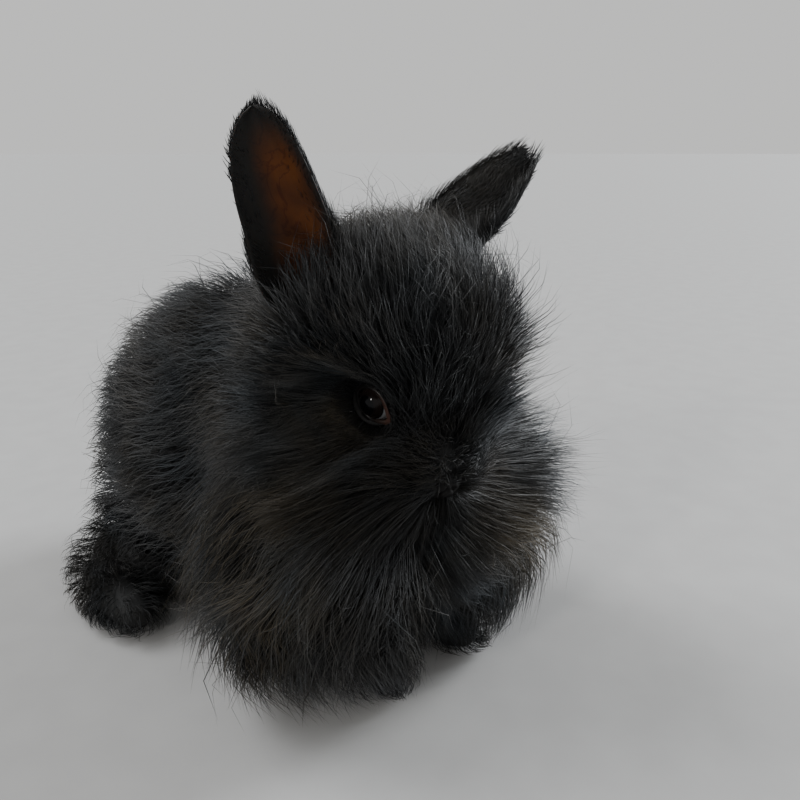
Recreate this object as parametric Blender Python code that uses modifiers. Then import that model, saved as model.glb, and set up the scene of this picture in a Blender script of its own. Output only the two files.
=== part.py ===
"""A young black angora rabbit sitting on its four feet, life size, as a still model.

The rabbit faces -Y, +X is its left side and +Z is up. Sizes are millimetres until a mesh
is made. Each part of the body is a few ellipsoids of skin, and the wool stands over them
by a depth of its own for each one. A solid core fills the inner part of that depth, and
flat locks of wool grow from it and lie along the coat, out to the tips.
"""

import math
import random

import bmesh
import bpy
from mathutils import Matrix, Vector
from mathutils.bvhtree import BVHTree
from mathutils.kdtree import KDTree

# Sizes of the whole
MM = 0.001
GAP = 0.4                  # kept between touching parts
TOUCHING = 0.003           # points of one surface this close are moved apart
PARTING = 0.02             # how far each of them moves into its own side
ORDER_PLACES = 3           # decimal places of a millimetre that put points in order
CORE_SHARE = 0.42          # how much of the wool's depth the core fills
SOLE_SPARE = 0.6           # left under each sole until it is cut flat at the end
FLOOR_CLEARANCE = 1.2      # lowest point of the wool
FLOOR_BEND = 6.0           # height over which the wool bends to lie on the floor
VOXEL_BODY = 3.0
VOXEL_HEAD = 1.6
VOXEL_LEG = 2.0

# The head's own frame: forward, up and side, with its origin between the eyes
HEAD_ORIGIN = Vector((0, -84, 126))
HEAD_PITCH = math.radians(35)
HEAD_YAW = math.radians(-8)

# The eye
EYE_RADIUS = 8.0
EYE_SIDE = 14.5            # from the middle of the head to the centre of the ball
LID_HALF_LENGTH = 8.2
LID_HALF_HEIGHT = 7.5
LID_THICKNESS = 1.4
OPENING_SHARE = 0.93       # the eye's opening against the middle of the lids' ring
LID_POINTS = 14
LID_DEPTH = 4.2            # of the lids' ring, out from the middle of the ball
DISH_CENTRE = (6, 1, 40)   # of the hollow in the wool in front of each eye
DISH_RADII = (19, 15, 23)
SIGHT_LENGTH = 22.0        # how far out from the lids the view of the eye is kept clear
EYE_TURN = math.radians(18)   # how far each eye looks forward of straight sideways

# Lines of the face, as places up and to the side of the head's middle
NOSTRIL = ((-9.6, 1.6), (-11.2, 3.4), (-13.0, 4.4))
CLEFT = ((-14.6, 0), (-17.0, 0), (-19.6, 0))
MOUTH = (
    (-20.6, -11), (-21.8, -8), (-22.2, -5), (-21.4, -2.4), (-20.4, 0),
    (-21.4, 2.4), (-22.2, 5), (-21.8, 8), (-20.6, 11),
)
LIP_DROP = 1.7             # of the lower lip's middle under the line of the mouth
LIP_RADIUS = 1.3
GROOVE_RADIUS = 0.8
FACE_START = 90.0          # ahead of the face, where the search for its surface starts

# The ear
EAR_LENGTH = 80.0
EAR_HALF_WIDTH = 17.5
EAR_TIP_WIDTH = 1.5
EAR_WIDEST = 0.55          # share of the length where the ear starts to narrow
EAR_CURL = (105, 50)       # half of the cup's arc in degrees, at the root and from the middle
EAR_BEND = 1.8             # how early the ear reaches the direction of its tip
EAR_THICKNESS = 2.2
EAR_ROOT = {"right": (-43, 12, -25), "left": (-42, 12, 20)}
EAR_STATIONS = 11
EAR_COLUMNS = 8
EAR_BASE_LEAN = {"right": (-0.36, -0.06, 0.93), "left": (0.22, -0.10, 0.97)}
EAR_TIP_LEAN = {"right": (-0.45, -0.12, 0.88), "left": (0.80, -0.38, 0.46)}
EAR_FACING = {"right": 50, "left": 82}   # degrees from straight ahead to the cup's side

SIDES = {"right": -1, "left": 1}
HIND_FOOT = {"right": 82, "left": 64}    # from the middle to each foot's centre
FORE_PAW = {"right": 20, "left": 24}

# Locks of wool for each node: length, width, thickness and the distance between roots
LOCKS = {
    "head": (44, 21, 4.2, 15),
    "neck": (38, 20, 4.4, 15),
    "hindleg_right": (40, 24, 4.6, 19),
    "hindleg_left": (40, 24, 4.6, 19),
    "tail": (30, 16, 4.0, 13),
    "torso": (48, 31, 5.4, 22.5),
}
HEAD_FACES = 1500
GUIDE_FACES = 5000
LOCK_SEED = 35
LOCK_TRIES = 2500          # random places tried on each node
LOCK_SINK = 6.5            # depth of a root in its core
LOCK_MARGIN = 4.0          # from a root to the nearest other node
LOCK_STATIONS = ((0.30, 0.46, 1.0), (0.66, 0.82, 0.80))   # share of length, lift and width
ROOT_WIDTH = 0.55
STIFFNESS = 2.0            # how much a lock keeps its own way against the coat's lie
ROOT_LEAN = 0.4            # how far a root leans back under its lock
TIDY_SHARE = 0.73          # triangles kept when the crossings' slivers are melted away
TIDY_STEP = 0.011          # more of them for each new try
TIDY_TRIES = 24
NEAR_MEETING = 0.0005      # points this close count as one in the test of a surface
FACE_EDGE = (8, 17)        # foremost roots on the upper face and on the cheeks
FACE_CHEEK = -9            # where the cheeks begin, under the middle of the head
EYE_CLEARANCE = 15.0       # from a root to the middle of an eye's lids
FACE_DEPTH = 34.0          # over which the locks grow to their whole size
FACE_SHARE = 0.55          # size of the locks at the front of the face
CROWN_LIFT = 1.5           # the tuft between the ears stands up more
LEAST_LIFT = 5.0           # of a lock's tip over the core
MOST_LIFT = 32.0
# Share of length, share of lift and turn in degrees that are tried until a lock is clear
LOCK_VARIANTS = (
    (1, 1, 0), (1, 1.4, 0), (0.8, 1.2, 0), (1, 0.6, 0), (0.8, 1, 30), (0.8, 1, -30),
    (0.6, 1, 0), (0.6, 0.6, 0), (0.6, 1.2, 50), (0.6, 1.2, -50), (0.45, 0.8, 0),
)
NOSE = (42, -14, 0)        # in the head's frame, where the coat's lie starts
HEAD_DROOP = Vector((0, 0.1, -0.35))
TAIL_ROOT = Vector((0, 96, 58))
BIB_BACK = -42.0           # the bib's wool hangs, and the wool behind it lies backward
BIB_LIE = Vector((0.7, -0.2, -1))
BODY_LIE = Vector((0.18, 1, -0.5))
LEG_BARE = 24.0            # no locks on the legs under this height
TORSO_BARE = 7.0
EYE_MIDDLE = (1, 0, 20)    # of the lids, in the head's frame
CROWN_HEIGHT = 30.0        # above the head's origin, where the tuft starts
CROWN_HALF_WIDTH = 18.0

# Colours of the dry wool, bare skin and eyes
WOOL_COLOUR = (0.030, 0.027, 0.024, 1)
FACE_COLOUR = (0.020, 0.018, 0.016, 1)
EAR_COLOUR = (0.070, 0.038, 0.022, 1)
EYE_COLOUR = (0.012, 0.007, 0.005, 1)
FOOT_COLOUR = (0.024, 0.022, 0.020, 1)


def head_turn():
    """Rotation from the head's forward, up and side axes to the world."""
    cos, sin = math.cos(HEAD_PITCH), math.sin(HEAD_PITCH)
    forward, up, side = Vector((0, -cos, -sin)), Vector((0, -sin, cos)), Vector((1, 0, 0))
    axes = Matrix((forward, up, side)).transposed()
    return Matrix.Rotation(HEAD_YAW, 3, "Z") @ axes


def head_point(forward, up, side):
    return HEAD_ORIGIN + head_turn() @ Vector((forward, up, side))


def clear_scene():
    for thing in list(bpy.data.objects):
        bpy.data.objects.remove(thing)


def material(name, colour, roughness, coat=0.0):
    made = bpy.data.materials.new(name)
    made.use_nodes = True
    shader = made.node_tree.nodes["Principled BSDF"]
    shader.inputs["Base Color"].default_value = colour
    shader.inputs["Roughness"].default_value = roughness
    shader.inputs["Coat Weight"].default_value = coat
    return made


def collection(name):
    made = bpy.data.collections.new(name)
    bpy.context.scene.collection.children.link(made)
    return made


def add_object(name, mesh):
    made = bpy.data.objects.new(name, mesh)
    WORKSHOP.objects.link(made)
    return made


def mesh_object(name, shape):
    """An object from a bmesh in millimetres."""
    bmesh.ops.scale(shape, vec=(MM, MM, MM), verts=shape.verts)
    bmesh.ops.recalc_face_normals(shape, faces=shape.faces)
    mesh = bpy.data.meshes.new(name)
    shape.to_mesh(mesh)
    shape.free()
    return add_object(name, mesh)


def bake(thing):
    """Put an object's evaluated mesh in place of its mesh and modifiers."""
    mesh = bpy.data.meshes.new_from_object(
        thing.evaluated_get(bpy.context.evaluated_depsgraph_get())
    )
    thing.modifiers.clear()
    thing.data = mesh
    return thing


def put_in_order(thing):
    """Number a mesh's points and faces by their places, so that every run gives the same model."""
    points = [tuple(round(c / MM, ORDER_PLACES) for c in v.co) for v in thing.data.vertices]
    order = sorted(range(len(points)), key=points.__getitem__)
    number = {old: new for new, old in enumerate(order)}
    faces = []
    for polygon in thing.data.polygons:
        corners = [number[i] for i in polygon.vertices]
        first = corners.index(min(corners))
        faces.append(corners[first:] + corners[:first])
    mesh = bpy.data.meshes.new(thing.data.name)
    mesh.from_pydata([thing.data.vertices[i].co for i in order], [], sorted(faces))
    thing.data = mesh


def islands(shape):
    """The sets of faces of a bmesh that meet at edges of just two faces."""
    left = set(shape.faces)
    found = []
    while left:
        face = left.pop()
        island, edge_of_search = {face}, [face]
        while edge_of_search:
            edges = [e for e in edge_of_search.pop().edges if len(e.link_faces) == 2]
            for edge in edges:
                for other in edge.link_faces:
                    if other in left:
                        left.remove(other)
                        island.add(other)
                        edge_of_search.append(other)
        found.append(island)
    return found


def keep_largest(thing):
    """Clean an object's mesh and drop every surface but the largest."""
    shape = bmesh.new()
    shape.from_mesh(thing.data)
    bmesh.ops.triangulate(shape, faces=shape.faces)
    groups = sorted(islands(shape), key=len, reverse=True)
    loose = [face for group in groups[1:] for face in group]
    bmesh.ops.delete(shape, geom=loose, context="FACES")
    bmesh.ops.delete(shape, geom=[v for v in shape.verts if not v.link_faces], context="VERTS")
    part_touching(shape)
    shape.to_mesh(thing.data)
    shape.free()
    put_in_order(thing)
    return thing


def part_touching(shape):
    """Move apart the points where a surface touches itself, so that it stays one closed one."""
    shape.normal_update()
    shape.verts.ensure_lookup_table()
    places = KDTree(len(shape.verts))
    for index, vertex in enumerate(shape.verts):
        places.insert(vertex.co, index)
    places.balance()
    touching = set()
    for index, vertex in enumerate(shape.verts):
        joined = {edge.other_vert(vertex) for edge in vertex.link_edges}
        for _, other, _ in places.find_range(vertex.co, TOUCHING * MM):
            if other != index and shape.verts[other] not in joined:
                touching.update((index, other))
    for index in touching:
        vertex = shape.verts[index]
        vertex.co -= vertex.normal * PARTING * MM


def boolean(thing, other, operation, keep_other=False):
    """Cut or join with another object, which is removed unless it is needed again."""
    modifier = thing.modifiers.new(operation, "BOOLEAN")
    modifier.operation = operation
    modifier.solver = "MANIFOLD"
    modifier.object = other
    bake(thing)
    if not keep_other:
        bpy.data.objects.remove(other)
    return keep_largest(thing)


def swollen(thing, by=GAP):
    """A copy of an object with each vertex moved out along its normal."""
    shape = bmesh.new()
    shape.from_mesh(thing.data)
    shape.normal_update()
    for vertex in shape.verts:
        vertex.co += vertex.normal * by * MM * vertex.calc_shell_factor()
    mesh = bpy.data.meshes.new("cutter")
    shape.to_mesh(mesh)
    shape.free()
    return add_object("cutter", mesh)


def ellipsoid(centre, radii, turn=None, segments=32):
    """One closed ellipsoid as a bmesh, in millimetres."""
    shape = bmesh.new()
    bmesh.ops.create_uvsphere(shape, u_segments=segments, v_segments=segments // 2, radius=1)
    for vertex in shape.verts:
        local = Vector(v * r for v, r in zip(vertex.co, radii))
        vertex.co = Vector(centre) + (turn @ local if turn else local)
    return shape


def at_share(blobs, share, in_head=False):
    """Centres, radii and turns of blobs at a share of their wool's depth."""
    out = []
    for centre, radii, wool, shift in blobs:
        centre = Vector(centre) + Vector(shift) * share
        if in_head:
            centre = head_point(*centre)
        radii = Vector(radii) + Vector(wool) * share
        out.append((centre, radii, head_turn() if in_head else None))
    return out


def paired(centre, radii, wool, shift=(0, 0, 0), axis=0):
    """The same blob on both sides, mirrored on one axis."""
    out = []
    for side in SIDES.values():
        flip = Vector((1, 1, 1))
        flip[axis] = side
        out.append((Vector(centre) * flip, radii, wool, Vector(shift) * flip))
    return out


def head_blobs():
    """Skull, mask, cheeks, whisker pads, chin and nose, in the head's frame."""
    return [
        ((-16, 0, 0), (28, 21, 22), (22, 35, 42), (-6, 5, 0)),
        ((-2, -1, 0), (24, 19, 18), (3, 3, 2), (0, 0, 0)),
        ((20, -8, 0), (20, 14, 12), (2, 3, 3), (0, 0, 0)),
        ((25, -24, 0), (10, 6, 7.5), (1, 5, 2), (0, 0, 0)),
        ((38, -12.5, 0), (4.5, 5, 6), (0, 0, 0), (0, 0, 0)),
        *paired((-10, -18, 12), (18, 12, 10), (12, 20, 22), (4, -10, 19), axis=2),
        *paired((30, -16, 6), (9.5, 8.5, 7), (1, 1, 2), axis=2),
    ]


def torso_blobs():
    """Rump, back, chest and the two halves of the bib."""
    return [
        ((0, 55, 70), (44, 46, 56), (27, 27, 28), (0, 0, 0)),
        ((0, 18, 87), (42, 52, 50), (34, 32, 34), (0, 0, 0)),
        ((0, -30, 76), (34, 36, 52), (28, 26, 26), (0, 0, 0)),
        *paired((20, -58, 70), (20, 20, 30), (34, 28, 24), (18, -12, -12)),
    ]


def neck_blobs():
    return [((0, -40, 119), (30, 28, 30), (24, 26, 14), (0, 0, 0))]


def hindleg_blobs(side, foot_side):
    """Haunch, hock and the long foot, which lies further out on one side."""
    return [
        ((side * 40, 46, 54), (20, 42, 44), (18, 18, 18), (0, 0, 0)),
        ((side * (foot_side - 15), 60, 20), (17, 20, 16), (5, 5, 5), (0, 0, 0)),
        ((side * foot_side, 42, 10), (12, 34, 11), (4, 4, 4), (0, 0, 0)),
    ]


def foreleg_blobs(side, paw_side):
    """Forearm and paw."""
    return [
        ((side * (paw_side - 3), -74, 31), (12, 13, 25), (3, 3, 3), (0, 0, 0)),
        ((side * paw_side, -86, 9), (11, 17, 9.5), (3, 3, 3), (0, 0, 0)),
    ]


def tail_blobs():
    return [((0, 108, 66), (9, 9, 20), (18, 22, 14), (0, 8, 4))]


def body(name, ellipsoids, faces, voxel):
    """Ellipsoids melted into one smooth closed mesh."""
    joined = bmesh.new()
    for centre, radii, turn in ellipsoids:
        shape = ellipsoid(centre, radii, turn)
        mesh = bpy.data.meshes.new("blob")
        shape.to_mesh(mesh)
        shape.free()
        joined.from_mesh(mesh)
        bpy.data.meshes.remove(mesh)
    thing = mesh_object(name, joined)
    remesh = thing.modifiers.new("remesh", "REMESH")
    remesh.mode = "VOXEL"
    remesh.voxel_size = voxel * MM
    smooth = thing.modifiers.new("smooth", "SMOOTH")
    smooth.factor = 0.5
    smooth.iterations = 8
    bake(thing)
    put_in_order(thing)
    decimate = thing.modifiers.new("decimate", "DECIMATE")
    decimate.ratio = min(1, faces / sum(len(p.vertices) - 2 for p in thing.data.polygons))
    bake(thing)
    return keep_largest(thing)


def flatten_below(thing, height):
    """Cut an object flat at a height."""
    shape = bmesh.new()
    shape.from_mesh(thing.data)
    cut = bmesh.ops.bisect_plane(
        shape, geom=shape.verts[:] + shape.edges[:] + shape.faces[:],
        plane_co=(0, 0, height * MM), plane_no=(0, 0, -1), clear_outer=True,
    )
    rim = [e for e in cut["geom_cut"] if isinstance(e, bmesh.types.BMEdge)]
    if rim:
        bmesh.ops.holes_fill(shape, edges=rim)
    shape.to_mesh(thing.data)
    shape.free()
    return keep_largest(thing)


def eye_frame(side):
    """Centre of an eyeball, and its outward, forward and upward directions."""
    turn = head_turn()
    outward = turn @ Vector((math.sin(EYE_TURN), 0, side * math.cos(EYE_TURN)))
    upward = turn @ Vector((0, 1, 0))
    forward = outward.cross(upward) * side
    return head_point(0, 0, side * EYE_SIDE), outward, -forward, upward


def tube(points, radius, cyclic=False):
    """A closed round tube through points, in millimetres, as a mesh object."""
    curve = bpy.data.curves.new("tube", "CURVE")
    curve.dimensions = "3D"
    curve.bevel_depth = radius * MM
    curve.bevel_resolution = 1
    curve.use_fill_caps = not cyclic
    line = curve.splines.new("POLY")
    line.points.add(len(points) - 1)
    for point, place in zip(line.points, points):
        point.co = (*(Vector(place) * MM), 1)
    line.use_cyclic_u = cyclic
    guide = add_object("guide", curve)
    mesh = bpy.data.meshes.new_from_object(
        guide.evaluated_get(bpy.context.evaluated_depsgraph_get())
    )
    bpy.data.objects.remove(guide)
    shape = bmesh.new()
    shape.from_mesh(mesh)
    bmesh.ops.remove_doubles(shape, verts=shape.verts, dist=0.005 * MM)
    bmesh.ops.scale(shape, vec=(1 / MM,) * 3, verts=shape.verts)
    return mesh_object("tube", shape)


def lid_outline(side, share, depth):
    """The almond between the lids, at a distance out from the middle of the ball."""
    centre, outward, forward, upward = eye_frame(side)
    points = []
    for i in range(LID_POINTS):
        angle = math.tau * i / LID_POINTS
        along = math.cos(angle) * LID_HALF_LENGTH * share
        up = math.sin(angle) * LID_HALF_HEIGHT * share * (1 - 0.12 * abs(math.cos(angle)) ** 3)
        points.append(centre + forward * along + upward * up + outward * depth)
    return points


def lid_opening(side):
    """A flaring plug that clears whatever lies over the eye between the lids."""
    shape = bmesh.new()
    rings = []
    inner = (0.6, LID_DEPTH - 2.7)
    outer = (1.25, LID_DEPTH + SIGHT_LENGTH)
    for share, depth in (inner, (OPENING_SHARE, LID_DEPTH), outer):
        rings.append([shape.verts.new(point) for point in lid_outline(side, share, depth)])
    for low, high in zip(rings, rings[1:]):
        for i in range(LID_POINTS):
            j = (i + 1) % LID_POINTS
            shape.faces.new((low[i], low[j], high[j], high[i]))
    shape.faces.new(rings[0])
    shape.faces.new(rings[-1])
    bmesh.ops.triangulate(shape, faces=shape.faces)
    return mesh_object("opening", shape)


def face_points(places, tree):
    """Points on the front of the face, from places given as up and side."""
    turn = head_turn()
    ahead = turn @ Vector((1, 0, 0))
    points = []
    for up, side in places:
        hit, _, _, _ = tree.ray_cast(head_point(FACE_START, up, side), -ahead)
        points.append(hit)
    return points


def add_face_lines(head):
    """Lips, and the grooves of the nostrils, the cleft under the nose and the mouth."""
    tree = tree_of(head)
    lips = [(up - LIP_DROP, side) for up, side in MOUTH]
    boolean(head, tube(face_points(lips, tree), LIP_RADIUS), "UNION")
    grooves = [MOUTH, CLEFT]
    for side in SIDES.values():
        grooves.append([(up, across * side) for up, across in NOSTRIL])
    for places in grooves:
        boolean(head, tube(face_points(places, tree), GROOVE_RADIUS), "DIFFERENCE")


def build_head():
    """The head, and a swollen copy of it without eye sockets, to cut what meets it."""
    head = body("head", at_share(head_blobs(), CORE_SHARE, True), HEAD_FACES, VOXEL_HEAD)
    cutter = swollen(head)
    add_face_lines(head)
    for side in SIDES.values():
        forward, up, out = DISH_CENTRE
        dish = ellipsoid(head_point(forward, up, side * out), DISH_RADII, head_turn())
        boolean(head, mesh_object("dish", dish), "DIFFERENCE")
        ring = tube(lid_outline(side, 1, LID_DEPTH), LID_THICKNESS, cyclic=True)
        boolean(head, ring, "UNION")
        boolean(head, lid_opening(side), "DIFFERENCE")
        centre = eye_frame(side)[0]
        socket = ellipsoid(centre, (EYE_RADIUS + GAP,) * 3, segments=28)
        boolean(head, mesh_object("socket", socket), "DIFFERENCE")
    return head, cutter


def build_eye(name, side):
    shape = ellipsoid(eye_frame(side)[0], (EYE_RADIUS,) * 3, segments=16)
    return mesh_object(f"eye_{name}", shape)


def ear_section(share):
    """Half width and curl of the ear's cup at a share of its length."""
    rise = (1 + math.sin(math.pi * min(share, 0.5)) ** 0.8) / 2
    fall = math.sqrt(max(0.0, 1 - max(0, (share - EAR_WIDEST) / (1 - EAR_WIDEST)) ** 2.4))
    root_curl, tip_curl = EAR_CURL
    curl = math.radians(root_curl + (tip_curl - root_curl) * min(1, share * 2))
    return max(EAR_TIP_WIDTH, EAR_HALF_WIDTH * rise * fall), curl


def ear_spine(name):
    """Places and directions along the middle of the ear, from root to tip."""
    place = head_point(*EAR_ROOT[name])
    base, tip = Vector(EAR_BASE_LEAN[name]).normalized(), Vector(EAR_TIP_LEAN[name]).normalized()
    spine = []
    for i in range(EAR_STATIONS):
        axis = base.lerp(tip, min(1, EAR_BEND * i / (EAR_STATIONS - 1))).normalized()
        spine.append((place, axis))
        place = place + axis * EAR_LENGTH / (EAR_STATIONS - 1)
    return spine


def build_ear(name, side):
    """The ear as a curled leaf of even thickness, lofted from root to tip."""
    aim = math.radians(EAR_FACING[name])
    aim = Vector((side * math.sin(aim), -math.cos(aim), 0))
    shape = bmesh.new()
    layers = []
    for layer in range(2):
        rows = []
        for i, (place, axis) in enumerate(ear_spine(name)):
            facing = (aim - axis * aim.dot(axis)).normalized()
            across = axis.cross(facing)
            share = i / (EAR_STATIONS - 1)
            half, curl = ear_section(share)
            radius = half / math.sin(min(curl, math.pi / 2))
            row = []
            for j in range(EAR_COLUMNS + 1):
                edge = 2 * j / EAR_COLUMNS - 1
                thick = EAR_THICKNESS * layer * (1 - 0.5 * share) * (1 - 0.5 * edge ** 4)
                out = across * math.sin(curl * edge) - facing * math.cos(curl * edge)
                row.append(shape.verts.new(place + facing * radius + out * (radius - thick)))
            rows.append(row)
        layers.append(rows)
    outer, inner = layers
    for i in range(EAR_STATIONS - 1):
        for j in range(EAR_COLUMNS):
            for rows in layers:
                a, b = rows[i][j], rows[i][j + 1]
                c, d = rows[i + 1][j + 1], rows[i + 1][j]
                shape.faces.new((a, b, c))
                shape.faces.new((a, c, d))
        for j in (0, EAR_COLUMNS):
            shape.faces.new((outer[i][j], outer[i + 1][j], inner[i + 1][j], inner[i][j]))
    for i in (0, EAR_STATIONS - 1):
        for j in range(EAR_COLUMNS):
            shape.faces.new((outer[i][j], outer[i][j + 1], inner[i][j + 1], inner[i][j]))
    bmesh.ops.triangulate(shape, faces=[f for f in shape.faces if len(f.verts) > 3])
    return mesh_object(f"ear_{name}", shape)


def build_cores():
    """Every node without its locks, the cutters of the torso's sockets and a guide surface."""
    cores = {}
    cores["head"], head_cutter = build_head()
    shapes = {
        "neck": (neck_blobs(), 420, VOXEL_BODY),
        "torso": (torso_blobs(), 1500, VOXEL_BODY),
        "tail": (tail_blobs(), 220, VOXEL_LEG),
    }
    for name, side in SIDES.items():
        shapes[f"hindleg_{name}"] = (hindleg_blobs(side, HIND_FOOT[name]), 560, VOXEL_LEG)
        shapes[f"foreleg_{name}"] = (foreleg_blobs(side, FORE_PAW[name]), 360, VOXEL_LEG)
    everything = at_share(head_blobs(), CORE_SHARE, True)
    for name, (blobs, faces, voxel) in shapes.items():
        ellipsoids = at_share(blobs, CORE_SHARE)
        everything += ellipsoids
        floor = -SOLE_SPARE if "leg" in name else FLOOR_CLEARANCE
        cores[name] = flatten_below(body(name, ellipsoids, faces, voxel), floor)
    guide = body("guide", everything, GUIDE_FACES, VOXEL_BODY)
    tips = body("tips", all_tips(shapes), GUIDE_FACES, VOXEL_BODY)
    boolean(cores["neck"], head_cutter, "DIFFERENCE", keep_other=True)
    for name, side in SIDES.items():
        cores[f"eye_{name}"] = build_eye(name, side)
        ear = build_ear(name, side)
        cores[f"ear_{name}"] = boolean(ear, head_cutter, "DIFFERENCE", keep_other=True)
        boolean(cores[f"foreleg_{name}"], head_cutter, "DIFFERENCE", keep_other=True)
    cutters = [head_cutter]
    for name in ("neck", "hindleg_right", "hindleg_left", "foreleg_right", "foreleg_left"):
        cutters.append(swollen(cores[name]))
    boolean(cores["tail"], swollen(cores["torso"]), "DIFFERENCE")
    return cores, cutters, (guide, tips)


def all_tips(shapes):
    """Every part's ellipsoids out to the tips of the wool."""
    out = at_share(head_blobs(), 1, True)
    for blobs, _, _ in shapes.values():
        out += at_share(blobs, 1)
    return out


def tree_of(thing):
    """A search tree of an object's faces, in millimetres."""
    places = [vertex.co / MM for vertex in thing.data.vertices]
    return BVHTree.FromPolygons(places, [tuple(p.vertices) for p in thing.data.polygons])


def outside_by(tree, point):
    """How far a point is outside a closed surface, negative inside it."""
    near, normal, _, distance = tree.find_nearest(point)
    return distance if (point - near).dot(normal) > 0 else -distance


def lie_at(node, point):
    """The way the coat lies at a point, before it is laid on the surface."""
    side = math.copysign(1, point.x)
    if node == "head":
        return (point - head_point(*NOSE)).normalized() + HEAD_DROOP
    if node == "tail":
        return (point - TAIL_ROOT).normalized()
    lie = BIB_LIE if node == "torso" and point.y < BIB_BACK else BODY_LIE
    return Vector((lie.x * side, lie.y, lie.z))


def may_root(node, point, normal, trees):
    """Whether a lock may grow at a point of a node's core."""
    for other, tree in trees.items():
        if other != node and outside_by(tree, point) < LOCK_MARGIN:
            return False
    if node == "head":
        local = head_turn().transposed() @ (point - HEAD_ORIGIN)
        forward, up, out = EYE_MIDDLE
        places = [Vector((forward, up, side * out)) for side in SIDES.values()]
        from_eye = min((local - place).length for place in places)
        return local.x < FACE_EDGE[local.y < FACE_CHEEK] and from_eye > EYE_CLEARANCE
    if node.startswith("hindleg"):
        return point.z > LEG_BARE and normal.z > -0.5
    if node == "torso":
        return point.z > TORSO_BARE
    return True


def scattered_roots(node, thing, spacing, trees, rng):
    """Evenly spread random points on a core, with the surface's direction at each."""
    faces = list(thing.data.polygons)
    roots = []
    for face in rng.choices(faces, weights=[p.area for p in faces], k=LOCK_TRIES):
        a, b, c = (thing.data.vertices[i].co / MM for i in face.vertices)
        u, v = sorted((rng.random(), rng.random()))
        point = a * u + b * (v - u) + c * (1 - v)
        apart = spacing * root_share(node, point)
        if all((point - other).length > apart for other, _ in roots):
            if may_root(node, point, face.normal, trees):
                roots.append((point, face.normal.copy()))
    return roots


def comb(node, surfaces, root, length, lift, turn):
    """Stations of a lock that leaves the core and bends over along the coat's lie."""
    guide, tips = surfaces
    near, normal, _, _ = guide.find_nearest(root)
    lie = lie_at(node, root)
    heading = (lie - normal * lie.dot(normal)).normalized()
    heading = Matrix.Rotation(turn, 3, normal) @ heading
    stations = [(root - (normal + heading * ROOT_LEAN) * LOCK_SINK, heading, normal)]
    place, done = root, 0.0
    for share, rise, _ in (*LOCK_STATIONS, (1.0, 1.0, 0.0)):
        step = (share - done) * length
        near, normal, _, _ = guide.find_nearest(place + heading * step)
        lie = heading * STIFFNESS + lie_at(node, near).normalized()
        heading = (lie - normal * lie.dot(normal)).normalized()
        place, done = near, share
        _, _, _, depth = tips.ray_cast(near, normal)
        depth = min(max(depth or LEAST_LIFT, LEAST_LIFT), MOST_LIFT)
        stations.append((near + normal * depth * lift * rise, heading, normal))
    return stations


def lock_shape(stations, width, thickness, extra=0.0):
    """A closed flat lock of four sides that tapers to its tip, as a bmesh."""
    shape = bmesh.new()
    rings = []
    shares = (ROOT_WIDTH, *(wide for _, _, wide in LOCK_STATIONS))
    for (place, heading, normal), wide in zip(stations, shares):
        across = heading.cross(normal) * (width * wide / 2 + extra)
        up = normal * (thickness * wide / 2 + extra)
        corners = [place + across, place + up, place - across, place - up]
        rings.append([shape.verts.new(above_floor(corner)) for corner in corners])
    for low, high in zip(rings, rings[1:]):
        for i in range(4):
            j = (i + 1) % 4
            shape.faces.new((low[i], low[j], high[j]))
            shape.faces.new((low[i], high[j], high[i]))
    shape.faces.new(rings[0][::-1][:3])
    shape.faces.new((rings[0][0], rings[0][3], rings[0][1]))
    place, heading, _ = stations[-1]
    tip = shape.verts.new(above_floor(place + heading * extra))
    for i in range(4):
        shape.faces.new((rings[-1][i], rings[-1][(i + 1) % 4], tip))
    return shape


def above_floor(point):
    """A point near or under the floor, pressed up so that the wool spreads over it."""
    knee = FLOOR_CLEARANCE + FLOOR_BEND
    if point.z >= knee:
        return point
    height = FLOOR_CLEARANCE + FLOOR_BEND * math.exp((point.z - knee) / FLOOR_BEND)
    return Vector((point.x, point.y, height))


def is_clear(shape, obstacles):
    """Whether a lock crosses neither an obstacle nor itself."""
    tree = BVHTree.FromBMesh(shape)
    shape.verts.index_update()
    shape.faces.ensure_lookup_table()
    corners = [{vertex.index for vertex in face.verts} for face in shape.faces]
    if any(corners[a].isdisjoint(corners[b]) for a, b in tree.overlap(tree)):
        return False
    return not any(tree.overlap(other) for other in obstacles)


def sights():
    """Trees of the spaces in front of the eyes, which the wool leaves free."""
    found = []
    for side in SIDES.values():
        plug = lid_opening(side)
        found.append(tree_of(plug))
        bpy.data.objects.remove(plug)
    return found


def root_share(node, root):
    """Size of a lock at a root, which is smaller towards the front of the face."""
    if node != "head":
        return 1.0
    forward = (head_turn().transposed() @ (root - HEAD_ORIGIN)).x
    back = min(1, max(0, (FACE_EDGE[1] - forward) / FACE_DEPTH))
    return FACE_SHARE + (1 - FACE_SHARE) * back


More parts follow.
